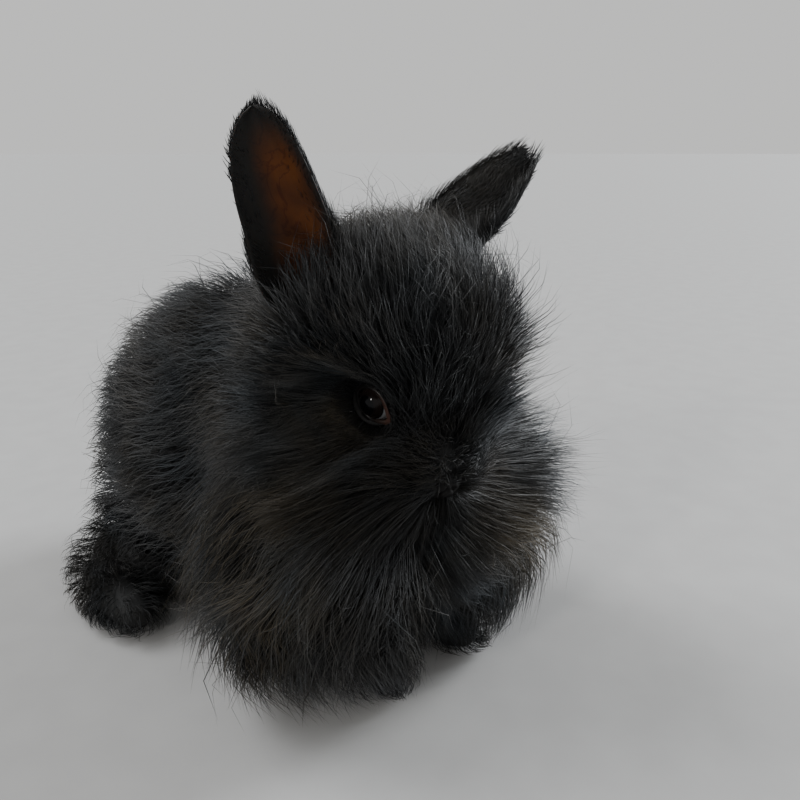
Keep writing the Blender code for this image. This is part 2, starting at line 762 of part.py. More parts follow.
def grow_locks(node, thing, surfaces, trees, placed, rng):
    """Locks all over one node's core, each clear of every other node."""
    length, width, thickness, spacing = LOCKS[node]
    obstacles = [tree for other, tree in trees.items() if other != node]
    obstacles += [tree for other, found in placed.items() if other != node for tree in found]
    if node == "head":
        obstacles += sights()
    placed[node] = []
    shapes = []
    for root, normal in scattered_roots(node, thing, spacing, trees, rng):
        size = rng.uniform(0.85, 1.15) * root_share(node, root)
        turn = math.radians(rng.uniform(-16, 16))
        high = rng.uniform(0.8, 1.1)
        if node == "head" and root.z > HEAD_ORIGIN.z + CROWN_HEIGHT:
            if abs(root.x) < CROWN_HALF_WIDTH:
                high *= CROWN_LIFT
        for longer, higher, aside in LOCK_VARIANTS:
            angle = turn + math.radians(aside)
            stations = comb(node, surfaces, root, length * size * longer, high * higher, angle)
            tested = lock_shape(stations, width * size, thickness, GAP)
            clear = is_clear(tested, obstacles)
            tested.free()
            if clear:
                shape = lock_shape(stations, width * size, thickness)
                placed[node].append(BVHTree.FromBMesh(shape))
                shapes.append(shape)
                break
    return shapes


def fuse_locks(thing, shapes):
    """Join a node's locks to its core in one union."""
    locks = collection("locks")
    for shape in shapes:
        lock = mesh_object("lock", shape)
        WORKSHOP.objects.unlink(lock)
        locks.objects.link(lock)
    modifier = thing.modifiers.new("locks", "BOOLEAN")
    modifier.operation = "UNION"
    modifier.solver = "MANIFOLD"
    modifier.operand_type = "COLLECTION"
    modifier.collection = locks
    bake(thing)
    for lock in list(locks.objects):
        bpy.data.objects.remove(lock)
    bpy.data.collections.remove(locks)
    keep_largest(thing)


def is_whole(thing):
    """Whether every edge still has two faces once points that nearly meet are one point."""
    numbers = {}
    met = {}
    for vertex in thing.data.vertices:
        place = tuple(round(c / MM / NEAR_MEETING) for c in vertex.co)
        met[vertex.index] = numbers.setdefault(place, len(numbers))
    uses = {}
    for polygon in thing.data.polygons:
        corners = [met[i] for i in polygon.vertices]
        if len(set(corners)) == 3:
            for i in range(3):
                edge = frozenset((corners[i], corners[i - 1]))
                uses[edge] = uses.get(edge, 0) + 1
    return set(uses.values()) == {2}


def tidy(thing, cutters):
    """Melt away the slivers of the union and cut what meets it, with the surface left whole."""
    fused = thing.data
    for attempt in range(TIDY_TRIES):
        thing.data = fused.copy()
        decimate = thing.modifiers.new("tidy", "DECIMATE")
        decimate.ratio = min(1, TIDY_SHARE + attempt * TIDY_STEP)
        bake(thing)
        keep_largest(thing)
        for cutter in cutters:
            boolean(thing, cutter, "DIFFERENCE", keep_other=True)
        if is_whole(thing):
            return
    raise ValueError(f"{thing.name} touches itself")


def build_model():
    parts, cutters, guides = build_cores()
    rng = random.Random(LOCK_SEED)
    surfaces = [tree_of(guide) for guide in guides]
    for guide in guides:
        bpy.data.objects.remove(guide)
    trees = {name: tree_of(thing) for name, thing in parts.items()}
    placed = {}
    shapes = {}
    for node in LOCKS:
        shapes[node] = grow_locks(node, parts[node], surfaces, trees, placed, rng)
    for node, found in shapes.items():
        fuse_locks(parts[node], found)
        tidy(parts[node], cutters if node == "torso" else [])
    for cutter in cutters:
        bpy.data.objects.remove(cutter)
    for name in SIDES:
        flatten_below(parts[f"hindleg_{name}"], 0)
        flatten_below(parts[f"foreleg_{name}"], 0)
    return parts


def set_origin(parts):
    """Move the whole model so that the middle of its underside is at the origin."""
    corners = [v.co for thing in parts.values() for v in thing.data.vertices]
    low = Vector(min(c[i] for c in corners) for i in range(3))
    high = Vector(max(c[i] for c in corners) for i in range(3))
    shift = Matrix.Translation(Vector((-(low.x + high.x) / 2, -(low.y + high.y) / 2, -low.z)))
    for thing in parts.values():
        thing.data.transform(shift)


def paint(parts):
    wool = material("charcoal wool", WOOL_COLOUR, 0.85)
    kinds = {
        "head": material("face fur", FACE_COLOUR, 0.8),
        "ear": material("ear skin", EAR_COLOUR, 0.7),
        "eye": material("dark eye", EYE_COLOUR, 0.08, 1.0),
        "foreleg": material("foot fur", FOOT_COLOUR, 0.85),
    }
    for name, thing in parts.items():
        thing.data.materials.clear()
        thing.data.materials.append(kinds.get(name.split("_")[0], wool))


def gather(parts):
    """Put the finished parts in the rabbit's own collection."""
    rabbit = collection("angora_rabbit")
    for name, thing in parts.items():
        thing.name = name
        rabbit.objects.link(thing)
        WORKSHOP.objects.unlink(thing)


clear_scene()
WORKSHOP = collection("workshop")
PARTS = build_model()
set_origin(PARTS)
paint(PARTS)
gather(PARTS)
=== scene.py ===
"""Looks of a young black angora rabbit sitting on its four feet, life size.

One skin stands for the solids of flesh, and fine tapered strands of wool grow from it. The
same ellipsoids give the skin, the depth of the wool over it and the surface of its tips.
Shapes are worked out in millimetres in the rabbit's own frame: it faces -Y, +X is its left
side and +Z is up, and the origin is on the floor.
"""

import math

import bmesh
import bpy
import numpy as np
from mathutils import Matrix, Vector
from mathutils.kdtree import KDTree


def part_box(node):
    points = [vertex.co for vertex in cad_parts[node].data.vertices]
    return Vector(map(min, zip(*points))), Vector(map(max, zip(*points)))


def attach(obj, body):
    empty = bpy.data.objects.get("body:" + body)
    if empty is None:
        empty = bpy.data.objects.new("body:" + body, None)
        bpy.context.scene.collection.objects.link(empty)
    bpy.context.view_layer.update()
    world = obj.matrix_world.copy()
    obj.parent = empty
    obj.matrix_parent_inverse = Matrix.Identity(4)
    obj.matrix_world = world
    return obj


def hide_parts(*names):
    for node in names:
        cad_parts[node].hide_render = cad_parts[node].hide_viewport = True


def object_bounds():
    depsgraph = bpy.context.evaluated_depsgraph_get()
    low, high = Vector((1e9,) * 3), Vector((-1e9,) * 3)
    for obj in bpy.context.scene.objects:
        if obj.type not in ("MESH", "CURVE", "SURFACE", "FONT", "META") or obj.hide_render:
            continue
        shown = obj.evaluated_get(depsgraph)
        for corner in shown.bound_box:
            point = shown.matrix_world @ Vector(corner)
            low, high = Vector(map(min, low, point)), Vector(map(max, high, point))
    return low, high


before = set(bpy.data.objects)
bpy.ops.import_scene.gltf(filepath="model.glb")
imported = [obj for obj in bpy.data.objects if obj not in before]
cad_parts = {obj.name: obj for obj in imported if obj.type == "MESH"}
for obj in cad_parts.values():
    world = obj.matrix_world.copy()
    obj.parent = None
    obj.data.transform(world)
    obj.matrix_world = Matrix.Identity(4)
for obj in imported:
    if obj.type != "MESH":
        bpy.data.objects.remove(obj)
CAD_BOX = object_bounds()

MM = 0.001
SIDES = {"right": -1, "left": 1}

# The head's own frame: forward, up and side, with its origin between the eyes
HEAD_ORIGIN = np.array((0.0, -84.0, 126.0))
HEAD_PITCH = math.radians(35)
HEAD_YAW = math.radians(-8)

# The eye, the way it looks as shares out, ahead and up, and its cornea
EYE_RADIUS = 8.0
EYE_INSET = 0.35
EYE_SIDE = 14.5
EYE_TURN = math.radians(18)
GAZE = (1.0, -0.10, 0.08)
CORNEA_BULGE = 0.55
CORNEA_REACH = math.radians(48)
WHITE_REACH = math.radians(80)

# The lids, and the front corner that they are drawn out to
LID_HALF_LENGTH = 8.0
LID_HALF_HEIGHT = 7.3
LID_DEPTH = 4.0
LID_POINTS = 40
LID_REACH = 16.0
LID_MOUND = 2.2
LID_RIM = 0.70
LID_RIM_SIDES = 12
CORNER_LENGTH = 1.6
CORNER_DROP = 1.2
CORNER_SINK = 0.9
SOCKET_GAP = 0.15

# The opening between the lids, from inside out: its size against the almond, and its depth.
# Its outermost ring is moved ahead and up
LID_RINGS = ((0.5, 0.0), (0.99, LID_DEPTH - 0.3), (1.45, LID_DEPTH + 7))
OPENING_SHIFT = (2.4, 3.4)

# The ear
EAR_LENGTH = 80.0
EAR_HALF_WIDTH = 16.8
EAR_TIP_WIDTH = 1.5
EAR_WIDEST = 0.32
EAR_CURL = (105, 50)
EAR_BEND = 1.8
EAR_THICKNESS = 1.8
EAR_RIPPLE = 0.35
EAR_STATIONS = 44
EAR_COLUMNS = 28
EAR_ROOT = {"right": (-43, 12, -25), "left": (-42, 12, 20)}
EAR_BASE_LEAN = {"right": (-0.36, -0.06, 0.93), "left": (0.22, -0.10, 0.97)}
EAR_TIP_LEAN = {"right": (-0.36, -0.08, 0.93), "left": (0.68, -0.36, 0.64)}
EAR_FACING = {"right": 50, "left": 93}

# Feet, from the middle of the body
HIND_FOOT = {"right": 82, "left": 64}
FORE_PAW = {"right": 20, "left": 24}

# The camera, from the eye that it looks at, and where that eye is in the picture
CAMERA_AZIMUTH = math.radians(-42)
CAMERA_ELEVATION = math.radians(18)
CAMERA_DISTANCE = 300.0
PICTURE_WIDTH = 800
FOCAL_PIXELS = 768.0
EYE_PIXEL = (365, 403)
SENSOR_WIDTH = 36.0

# The field of melted ellipsoids, and the meshes made from it
MELT = 5.0
HEAD_VOXEL = 0.9
BODY_VOXEL = 2.5
SMOOTH_ROUNDS = 6
SEED = 7


def head_turn():
    """Columns are the head's forward, up and side directions in the world."""
    cos, sin = math.cos(HEAD_PITCH), math.sin(HEAD_PITCH)
    axes = np.array(((0, -cos, -sin), (0, -sin, cos), (1, 0, 0))).T
    cos, sin = math.cos(HEAD_YAW), math.sin(HEAD_YAW)
    return np.array(((cos, -sin, 0), (sin, cos, 0), (0, 0, 1))) @ axes


TURN = head_turn()


def head_way(forward, up, side):
    return TURN @ np.array((forward, up, side), float)


def head_point(forward, up, side):
    return HEAD_ORIGIN + head_way(forward, up, side)


def in_head_frame(points):
    """Points of the world as places forward, up and to the side in the head's frame."""
    return (points - HEAD_ORIGIN) @ TURN


def unit(vectors):
    vectors = np.asarray(vectors, float)
    size = np.linalg.norm(vectors, axis=-1, keepdims=True)
    return vectors / np.maximum(size, 1e-9)


def smooth(low, high, values):
    """0 below low, 1 above high and a smooth step between."""
    share = np.clip((values - low) / (high - low), 0, 1)
    return share * share * (3 - 2 * share)


def paired(region, centre, radii, wool, shift=(0, 0, 0), axis=0):
    """The same ellipsoid on both sides."""
    out = []
    for side in SIDES.values():
        flip = np.ones(3)
        flip[axis] = side
        out.append((region, np.array(centre) * flip, radii, wool, np.array(shift) * flip))
    return out


def all_blobs():
    """The animal's ellipsoids: region, centre, radii of the skin, depth of the wool, shift of
    its tips, and whether they are in the head's frame."""
    still = (0, 0, 0)
    head = [
        ("crown", (-16, 0, 0), (28, 21, 22), (22, 36, 40), (-6, 4, 0)),
        ("crown", (-32, 13, -8), (6, 5, 8), (16, 31, 18), (-4, 6, 0)),
        ("crown", (-28, 6, 20), (6, 6, 5), (15, 23, 26), (2, 4, 9)),
        ("face", (-2, -1, 0), (24, 19, 18), (5, 7, 5), still),
        ("muzzle", (20, -8, 0), (20, 14, 12), (2.5, 5, 5), still),
        ("chin", (25, -24, 0), (10, 6, 7.5), (2, 10, 6), (-3, -3, 0)),
        ("nose", (38, -12.5, 0), (4.5, 5, 6), (0.6, 0.6, 0.6), still),
        *paired("cheek", (-10, -18, 12), (18, 12, 10), (14, 20, 24), (3, -10, 19), 2),
        *paired("muzzle", (30, -16, 6), (9.5, 8.5, 7), (2.5, 5, 8), (-3, -2, 3), 2),
    ]
    body = [
        ("rump", (0, 55, 70), (44, 46, 56), (27, 27, 28), still),
        ("back", (0, 18, 87), (42, 52, 50), (32, 32, 32), still),
        ("chest", (0, -30, 76), (34, 36, 52), (28, 26, 26), still),
        *paired("bib", (20, -58, 70), (20, 20, 30), (32, 28, 29), (17, -12, -12)),
        ("neck", (0, -40, 119), (30, 28, 30), (27, 28, 22), (0, 4, 4)),
        ("tail", (0, 108, 66), (9, 9, 20), (18, 22, 14), (0, 8, 4)),
    ]
    for name, side in SIDES.items():
        foot, paw = HIND_FOOT[name], FORE_PAW[name]
        body += [
            ("haunch", (side * 40, 46, 54), (20, 42, 44), (18, 18, 18), still),
            ("foot", (side * (foot - 15), 60, 20), (17, 20, 16), (11, 10, 10), still),
            ("foot", (side * foot, 42, 10), (12, 34, 11), (7, 7, 7.5), still),
            ("paw", (side * (paw - 3), -74, 31), (12, 13, 25), (6, 6, 6), still),
            ("paw", (side * paw, -86, 9), (11, 17, 9.5), (5, 5, 5), still),
        ]
    return [(*b, True) for b in head] + [(*b, False) for b in body]


BLOBS = all_blobs()
REGIONS = [blob[0] for blob in BLOBS]


def blob_at(blob, share):
    """Centre, radii and axes of an ellipsoid at a share of its wool's depth."""
    _, centre, radii, wool, shift, in_head = blob
    centre = np.array(centre, float) + np.array(shift, float) * share
    radii = np.array(radii, float) + np.array(wool, float) * share
    return (head_point(*centre), radii, TURN) if in_head else (centre, radii, np.eye(3))


def field(points, share):
    """How far points are outside the melted body, the way out, and each ellipsoid's part."""
    distances = np.empty((len(points), len(BLOBS)))
    ways = np.empty((len(points), len(BLOBS), 3))
    for i, blob in enumerate(BLOBS):
        centre, radii, axes = blob_at(blob, share)
        local = (points - centre) @ axes
        reach = np.linalg.norm(local / radii, axis=1)
        slope = np.maximum(np.linalg.norm(local / radii**2, axis=1), 1e-6)
        distances[:, i] = reach * (reach - 1) / slope
        ways[:, i] = (local / radii**2 / slope[:, None]) @ axes.T
    low = distances.min(1)
    parts = np.exp(-(distances - low[:, None]) / MELT)
    total = parts.sum(1)
    parts /= total[:, None]
    return low - MELT * np.log(total), unit((ways * parts[:, :, None]).sum(1)), parts


def link(name, mesh):
    made = bpy.data.objects.new(name, mesh)
    bpy.context.scene.collection.objects.link(made)
    return made


def mesh_of(name, shape):
    """A mesh from a bmesh, which is then freed."""
    mesh = bpy.data.meshes.new(name)
    shape.to_mesh(mesh)
    shape.free()
    return mesh


def edit(mesh, operation):
    """Apply an operation to all faces of a mesh."""
    shape = bmesh.new()
    shape.from_mesh(mesh)
    operation(shape, faces=shape.faces)
    shape.to_mesh(mesh)
    shape.free()


def closed_object(name, points, faces):
    """An object from points in millimetres and faces, which are turned outward."""
    mesh = bpy.data.meshes.new(name)
    mesh.from_pydata((points * MM).tolist(), [], faces)
    edit(mesh, bmesh.ops.recalc_face_normals)
    return link(name, mesh)


def modify(thing, kind, **settings):
    """Apply a modifier to an object."""
    modifier = thing.modifiers.new(kind, kind)
    for key, value in settings.items():
        setattr(modifier, key, value)
    graph = bpy.context.evaluated_depsgraph_get()
    mesh = bpy.data.meshes.new_from_object(thing.evaluated_get(graph))
    thing.modifiers.clear()
    thing.data = mesh


def boolean(thing, other, operation):
    modify(thing, "BOOLEAN", operation=operation, solver="MANIFOLD", object=other)
    bpy.data.objects.remove(other)


def ellipsoids_object(name, ellipsoids, segments=32):
    """Ellipsoids of centre, radii and axes, as one object of loose balls."""
    shape = bmesh.new()
    for centre, radii, axes in ellipsoids:
        matrix = Matrix(axes.tolist()).to_4x4() @ Matrix.Diagonal((*radii, 1))
        matrix = Matrix.Translation(centre * MM) @ Matrix.Scale(MM, 4) @ matrix
        bmesh.ops.create_uvsphere(
            shape, u_segments=segments, v_segments=segments // 2, radius=1, matrix=matrix
        )
    return link(name, mesh_of(name, shape))


def ball(centre, radius, segments):
    return ellipsoids_object("ball", [(centre, np.full(3, radius), np.eye(3))], segments)


def melted(name, in_head, voxel):
    """The skin's ellipsoids, of the head or of the body, as one smooth closed object."""
    thing = ellipsoids_object(name, [blob_at(blob, 0) for blob in BLOBS if blob[5] == in_head])
    modify(thing, "REMESH", mode="VOXEL", voxel_size=voxel * MM)
    modify(thing, "SMOOTH", factor=0.5, iterations=SMOOTH_ROUNDS)
    return thing


def eye_frame(side):
    """Centre of an eyeball, and its outward, forward and upward directions."""
    cos, sin = math.cos(EYE_TURN), math.sin(EYE_TURN)
    centre = head_point(0, 0, side * EYE_SIDE)
    return centre, head_way(sin, 0, side * cos), head_way(cos, 0, -side * sin), head_way(0, 1, 0)


EYE_LOW, EYE_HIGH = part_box("eye_right")
SHIFT = np.array((EYE_LOW + EYE_HIGH) / 2) / MM - eye_frame(SIDES["right"])[0]


def lid_outline(side, share, depth):
    """The almond between the lids, lower and drawn out towards the front corner."""
    centre, out, ahead, up = eye_frame(side)
    angles = np.arange(LID_POINTS)[:, None] * math.tau / LID_POINTS
    corner = np.maximum(0, np.cos(angles)) ** 6
    along = np.cos(angles) * LID_HALF_LENGTH + CORNER_LENGTH * corner
    height = np.sin(angles) * LID_HALF_HEIGHT * (1 - 0.12 * np.abs(np.cos(angles)) ** 3)
    height -= CORNER_DROP * corner
    return centre + (ahead * along + up * height) * share + out * (depth - CORNER_SINK * corner)


def ring_faces(rings, count, closed):
    """Faces between rings of equal count, and from the last to the first where closed."""
    faces = []
    for k in range(rings if closed else rings - 1):
        here, there = k * count, (k + 1) % rings * count
        for i in range(count):
            j = (i + 1) % count
            faces.append((here + i, here + j, there + j, there + i))
    return faces


def ring_loft(name, rings):
    """A closed object through rings of equal count, with flat ends."""
    count = len(rings[0])
    last = (len(rings) - 1) * count
    faces = ring_faces(len(rings), count, False)
    faces += [tuple(range(count)), tuple(last + i for i in reversed(range(count)))]
    return closed_object(name, np.concatenate(rings), faces)


def torus_along(name, path, radii_across, radii_out, out, sides):
    """A closed ring round a cyclic path, with its own half width and height at each point."""
    across = unit(np.cross(unit(np.roll(path, -1, 0) - np.roll(path, 1, 0)), out))
    angles = np.arange(sides) * math.tau / sides
    wide = (np.cos(angles) * radii_across[:, None])[..., None]
    high = (np.sin(angles) * radii_out[:, None])[..., None]
    points = path[:, None] + across[:, None] * wide + out * high
    return closed_object(name, points.reshape(-1, 3), ring_faces(len(path), sides, True))


def ear_section(shares):
    """Half width and curl of the ear's cup at shares of its length."""
    rise = (1 + np.sin(math.pi / 2 * np.minimum(shares / EAR_WIDEST, 1)) ** 0.8) / 2
    past = np.maximum(0, (shares - EAR_WIDEST) / (1 - EAR_WIDEST))
    fall = np.sqrt(np.maximum(0, 1 - past**2.5))
    root_curl, tip_curl = EAR_CURL
    curl = np.radians(root_curl + (tip_curl - root_curl) * np.minimum(1, shares * 2))
    return np.maximum(EAR_TIP_WIDTH, EAR_HALF_WIDTH * rise * fall), curl


def ear_grid(name):
    """The ear's outer and inner skin as grids of points, and the ways out and to the tip."""
    aim = math.radians(EAR_FACING[name])
    aim = np.array((SIDES[name] * math.sin(aim), -math.cos(aim), 0))
    base, tip = unit(EAR_BASE_LEAN[name]), unit(EAR_TIP_LEAN[name])
    shares = np.arange(EAR_STATIONS)[:, None] / (EAR_STATIONS - 1)
    edges = 2 * np.arange(EAR_COLUMNS + 1) / EAR_COLUMNS - 1
    axes = unit(base + (tip - base) * np.minimum(1, EAR_BEND * shares))
    facing = unit(aim - axes * (axes @ aim)[:, None])
    half, curl = ear_section(shares)
    radius = half / np.sin(np.minimum(curl, math.pi / 2))
    steps = (np.cumsum(axes, 0) - axes) * EAR_LENGTH / (EAR_STATIONS - 1)
    middle = head_point(*EAR_ROOT[name]) + steps + facing * radius
    turns = (curl * edges)[..., None]
    across = np.cross(axes, facing)[:, None]
    ways = across * np.sin(turns) - facing[:, None] * np.cos(turns)
    ripple = EAR_RIPPLE * np.sin(9 * shares + 5 * edges)
    thick = EAR_THICKNESS * (1 - 0.4 * shares) * (1 - 0.6 * edges**4)
    outer, inner = (
        middle[:, None] + ways * (radius - thick * layer + ripple)[..., None] for layer in range(2)
    )
    return outer, inner, ways, np.repeat(axes[:, None], EAR_COLUMNS + 1, 1)


def ear_object(grids):
    """The ear as a closed curled leaf."""
    outer, inner, _, _ = grids
    rows, columns = outer.shape[:2]
    front, back = np.arange(2 * rows * columns).reshape(2, rows, columns).tolist()
    faces = []
    for i in range(rows - 1):
        for j in range(columns - 1):
            for n in (front, back):
                faces.append((n[i][j], n[i][j + 1], n[i + 1][j + 1], n[i + 1][j]))
        for j in (0, columns - 1):
            faces.append((front[i][j], front[i + 1][j], back[i + 1][j], back[i][j]))
    for i in (0, rows - 1):
        for j in range(columns - 1):
            faces.append((front[i][j], front[i][j + 1], back[i][j + 1], back[i][j]))
    return closed_object("ear", np.concatenate((outer, inner)).reshape(-1, 3), faces)


# Colours are linear, of dry wool and bare skin, with a painted shade for the skin under the wool
CHARCOAL = (0.0090, 0.0089, 0.0086)
BROWN_TINT = (0.0150, 0.0118, 0.0068)
BLUE_TINT = (0.0076, 0.0098, 0.0116)
SHEEN_TINT = (0.80, 0.83, 0.90, 1)
# Painted shade: the skin is darkened to stand for the shade of the dense wool over it
SKIN_PAINTED_SHADE = (0.30, 0.29, 0.28)
# Dark rim of the ear's inside, also its darker side: partly dark hair, partly painted shade
EAR_RIM_AND_SHADE = (0.008, 0.0075, 0.007)
EAR_MIDDLE = ((0.034, 0.0095, 0.0018), (0.080, 0.0235, 0.0036))
EAR_VEIN = (0.62, 0.5, 0.45)
NOSE_COLOURS = ((0.0022, 0.002, 0.002), (0.005, 0.0045, 0.0045))
FLOOR_COLOURS = ((0.294, 0.291, 0.287), (0.310, 0.307, 0.303))
BACKDROP_COLOUR = (0.98, 0.98, 0.97, 1)
BACKDROP_STRENGTH = 0.74
BLACK, WHITE = (0, 0, 0), (1, 1, 1)

# The pupil, iris, dark edge and white of the eye, by their distance from its middle
EYE_COLOURS = (
    (0.0, (0.0010, 0.0011, 0.0015)), (0.34, (0.0010, 0.0011, 0.0015)),
    (0.40, (0.006, 0.0042, 0.0040)), (0.60, (0.010, 0.0065, 0.0055)),
    (0.72, (0.003, 0.0028, 0.0030)), (0.77, (0.24, 0.25, 0.26)), (1.0, (0.34, 0.32, 0.31)),
)

# The lids, from near black behind to moist pinkish brown at the front corner
LID_COLOURS = ((0.25, (0.006, 0.005, 0.005)), (0.7, (0.022, 0.013, 0.010)), (1.0, (0.060, 0.032, 0.026)))

# The coat is paler low on the body, between these heights in metres: partly its paler underparts, partly
# painted light
PALE_AND_LIT_BELOW = (0.04, 0.115)
PALE_AND_LIT_UNDER = 1.5

# Painted light: the ruff of the left side is palest round this point, between these distances in metres,
# where light from the side shines through its thin wool
RUFF_LIGHT_CENTRE = (0.054, -0.110, 0.068)
RUFF_LIGHT_REACH = (0.014, 0.044)
RUFF_PAINTED_LIGHT = 3.0


class Paint:
    """A new material, and what its nodes are made with."""

    def __init__(self, name, **inputs):
        self.made = bpy.data.materials.new(name)
        self.made.use_nodes = True
        self.nodes, self.links = self.made.node_tree.nodes, self.made.node_tree.links
        self.shader = self.nodes["Principled BSDF"]
        self.give(self.shader, **inputs)

    def give(self, node, **inputs):
        """Give a node's inputs their values, or link sockets to them."""
        for key, value in inputs.items():
            socket = node.inputs[key.replace("_", " ")]
            if isinstance(value, bpy.types.NodeSocket):
                self.links.new(value, socket)
            else:
                socket.default_value = value

    def add(self, kind, output, **inputs):
        """The output of a new node."""
        made = self.nodes.new("ShaderNode" + kind)
        self.give(made, **inputs)
        return made.outputs[output]

    def place(self):
        """The object's own coordinates."""
        return self.add("TexCoord", "Object")

    def tone(self):
        """The value kept at each point of the mesh."""
        made = self.nodes.new("ShaderNodeAttribute")
        made.attribute_name = "tone"
        return made.outputs["Fac"]

    def noise(self, scale, detail, distortion=0.0):
        """Noise over the object's own coordinates, in cycles per metre."""
        return self.add(
            "TexNoise", "Fac", Vector=self.place(), Scale=scale, Detail=detail, Distortion=distortion
        )

    def ramp(self, source, *stops):
        """Colours along a value, as stops of a place and a colour."""
        made = self.nodes.new("ShaderNodeValToRGB")
        while len(made.color_ramp.elements) < len(stops):
            made.color_ramp.elements.new(0.5)
        for element, (place, colour) in zip(made.color_ramp.elements, stops):
            element.position = place
            element.color = (*colour, 1)
        self.links.new(source, made.inputs["Fac"])
        return made.outputs["Color"]

    def mottle(self, low, high, detail=2.0):
        """A fine multiplier between two strengths."""
        return self.ramp(self.noise(900, detail), (0.3, (low,) * 3), (0.7, (high,) * 3))

    def mix(self, how, share, first, second):
        """Mix two colours; each value is a number, a colour or a socket."""
        made = self.nodes.new("ShaderNodeMix")
        made.data_type = "RGBA"
        made.blend_type = how
        colours = [s for s in made.inputs if s.type == "RGBA"]
        for socket, value in zip((made.inputs["Factor"], *colours), (share, first, second)):
            if isinstance(value, float):
                socket.default_value = value
            elif isinstance(value, tuple):
                socket.default_value = (*value, 1)
            else:
                self.links.new(value, socket)
        return [s for s in made.outputs if s.type == "RGBA"][0]

    def multiply(self, first, second):
        return self.mix("MULTIPLY", 1.0, first, second)

    def fall(self, value, near, far, strength):
        """A multiplier that falls from a strength to 1 as a value goes from near to far."""
        share = self.add("MapRange", "Result", Value=value, From_Min=near, From_Max=far)
        return self.ramp(share, (0.0, (strength,) * 3), (1.0, WHITE))

    def finish(self, colour, height=None, depth=0.15, strength=0.5):
        """Give the shader its colour and a fine relief, of a depth in millimetres."""
        self.give(self.shader, Base_Color=colour)
        if height is not None:
            relief = self.add("Bump", "Normal", Height=height, Distance=depth * MM, Strength=strength)
            self.give(self.shader, Normal=relief)
        return self.made


def tints_and_painted_light(paint):
    """The coat's broad tints, the same in the skin and the wool, and painted light: paler low on the
    body, partly for its paler underparts, and palest round a point on the left of the chest, where side
    light shines through the wool.
    """
    tint = paint.ramp(paint.noise(16, 2.0), (0.40, CHARCOAL), (0.62, BROWN_TINT))
    share = paint.ramp(paint.noise(27, 2.0, 0.4), (0.45, BLACK), (0.70, WHITE))
    both = paint.mix("MIX", share, tint, BLUE_TINT)
    # Painted light: the wool on the left of the chest is paler round one point, where side light shines
    # through it
    away = paint.nodes.new("ShaderNodeVectorMath")
    away.operation = "DISTANCE"
    away.inputs[1].default_value = RUFF_LIGHT_CENTRE
    paint.links.new(paint.place(), away.inputs[0])
    # Paler low on the body: partly the coat's paler underparts, partly painted light
    height = paint.add("SeparateXYZ", "Z", Vector=paint.place())
    under = paint.fall(height, *PALE_AND_LIT_BELOW, PALE_AND_LIT_UNDER)
    ruff = paint.fall(away.outputs["Value"], *RUFF_LIGHT_REACH, RUFF_PAINTED_LIGHT)
    return paint.multiply(paint.multiply(both, under), ruff)


def wool_material(name, deep, pale, roughness, sheen):
    """Wool: dark at the root, paler at the tip, each strand a little different."""
    paint = Paint(
        name, Roughness=roughness, Sheen_Weight=sheen, Sheen_Roughness=0.5, Sheen_Tint=SHEEN_TINT,
        Specular_IOR_Level=0.22,
    )
    along = paint.ramp(paint.tone(), (0.0, (deep,) * 3), (0.55, (0.5,) * 3), (1.0, pale))
    colour = paint.multiply(tints_and_painted_light(paint), along)
    return paint.finish(paint.multiply(colour, paint.mottle(0.75, 1.25)))


def skin_material():
    """Dark skin and dense underwool between the strands, darkened further as painted shade of the wool
    over them.
    """
    paint = Paint("skin", Roughness=0.85)
    return paint.finish(paint.multiply(tints_and_painted_light(paint), SKIN_PAINTED_SHADE), paint.noise(1400, 4.0), 0.6)


def plain_material(name, colours, roughness, scale, specular, depth):
    """A finish of two near colours in a fine mottle, with a slight relief."""
    paint = Paint(name, Roughness=roughness, Specular_IOR_Level=specular)
    grain = paint.noise(scale, 4.0)
    return paint.finish(paint.ramp(grain, *zip((0.35, 0.65), colours)), grain, depth, 0.6)


def ear_material():
    """The ear's inside: warm brown in the middle, dark towards its rim and more so to one side, partly
    dark hair and partly painted shade, with fine veins.
    """
    paint = Paint(
        "ear_skin", Roughness=0.6, Specular_IOR_Level=0.15, Subsurface_Weight=0.25,
        Subsurface_Scale=1.2 * MM, Subsurface_Radius=(1.0, 0.35, 0.15),
    )
    warm = paint.ramp(paint.noise(60, 3.0), *zip((0.3, 0.7), EAR_MIDDLE))
    vein = paint.noise(45, 5.0, 1.5)
    veins = paint.ramp(vein, (0.47, WHITE), (0.50, EAR_VEIN), (0.53, WHITE))
    colour = paint.mix("MIX", paint.tone(), EAR_RIM_AND_SHADE, paint.multiply(warm, veins))
    return paint.finish(colour, paint.noise(700, 4.0))


def eye_material():
    """A wet ball, coloured by the ring that a point is on."""
    paint = Paint(
        "eyeball", Roughness=0.06, Coat_Weight=0.2, Coat_Roughness=0.02, Specular_IOR_Level=0.05
    )
    return paint.finish(paint.ramp(paint.tone(), *EYE_COLOURS))


def lid_material():
    """Moist bare lids."""
    paint = Paint(
        "lid", Roughness=0.35, Coat_Weight=0.15, Coat_Roughness=0.2, Specular_IOR_Level=0.2
    )
    colours = paint.ramp(paint.tone(), *LID_COLOURS)
    return paint.finish(paint.multiply(colours, paint.mottle(0.75, 1.2, 3.0)))


def set_tones(thing, values):
    """The number at each point of an object's mesh that its material reads."""
    made = thing.data.attributes.new("tone", "FLOAT", "POINT")
    made.data.foreach_set("value", np.asarray(values, np.float32).ravel())


def read(items, key, width=1, kind=np.int32):
    """A value of each item of a mesh, as rows of an array."""
    flat = np.empty(len(items) * width, kind)
    items.foreach_get(key, flat)
    return flat.reshape(-1, width)


def points_of(thing):
    """An object's points in millimetres."""
    return read(thing.data.vertices, "co", 3, np.float32).astype(float) / MM


def set_points(thing, points):
    thing.data.vertices.foreach_set("co", (points * MM).astype(np.float32).ravel())
    thing.data.update()


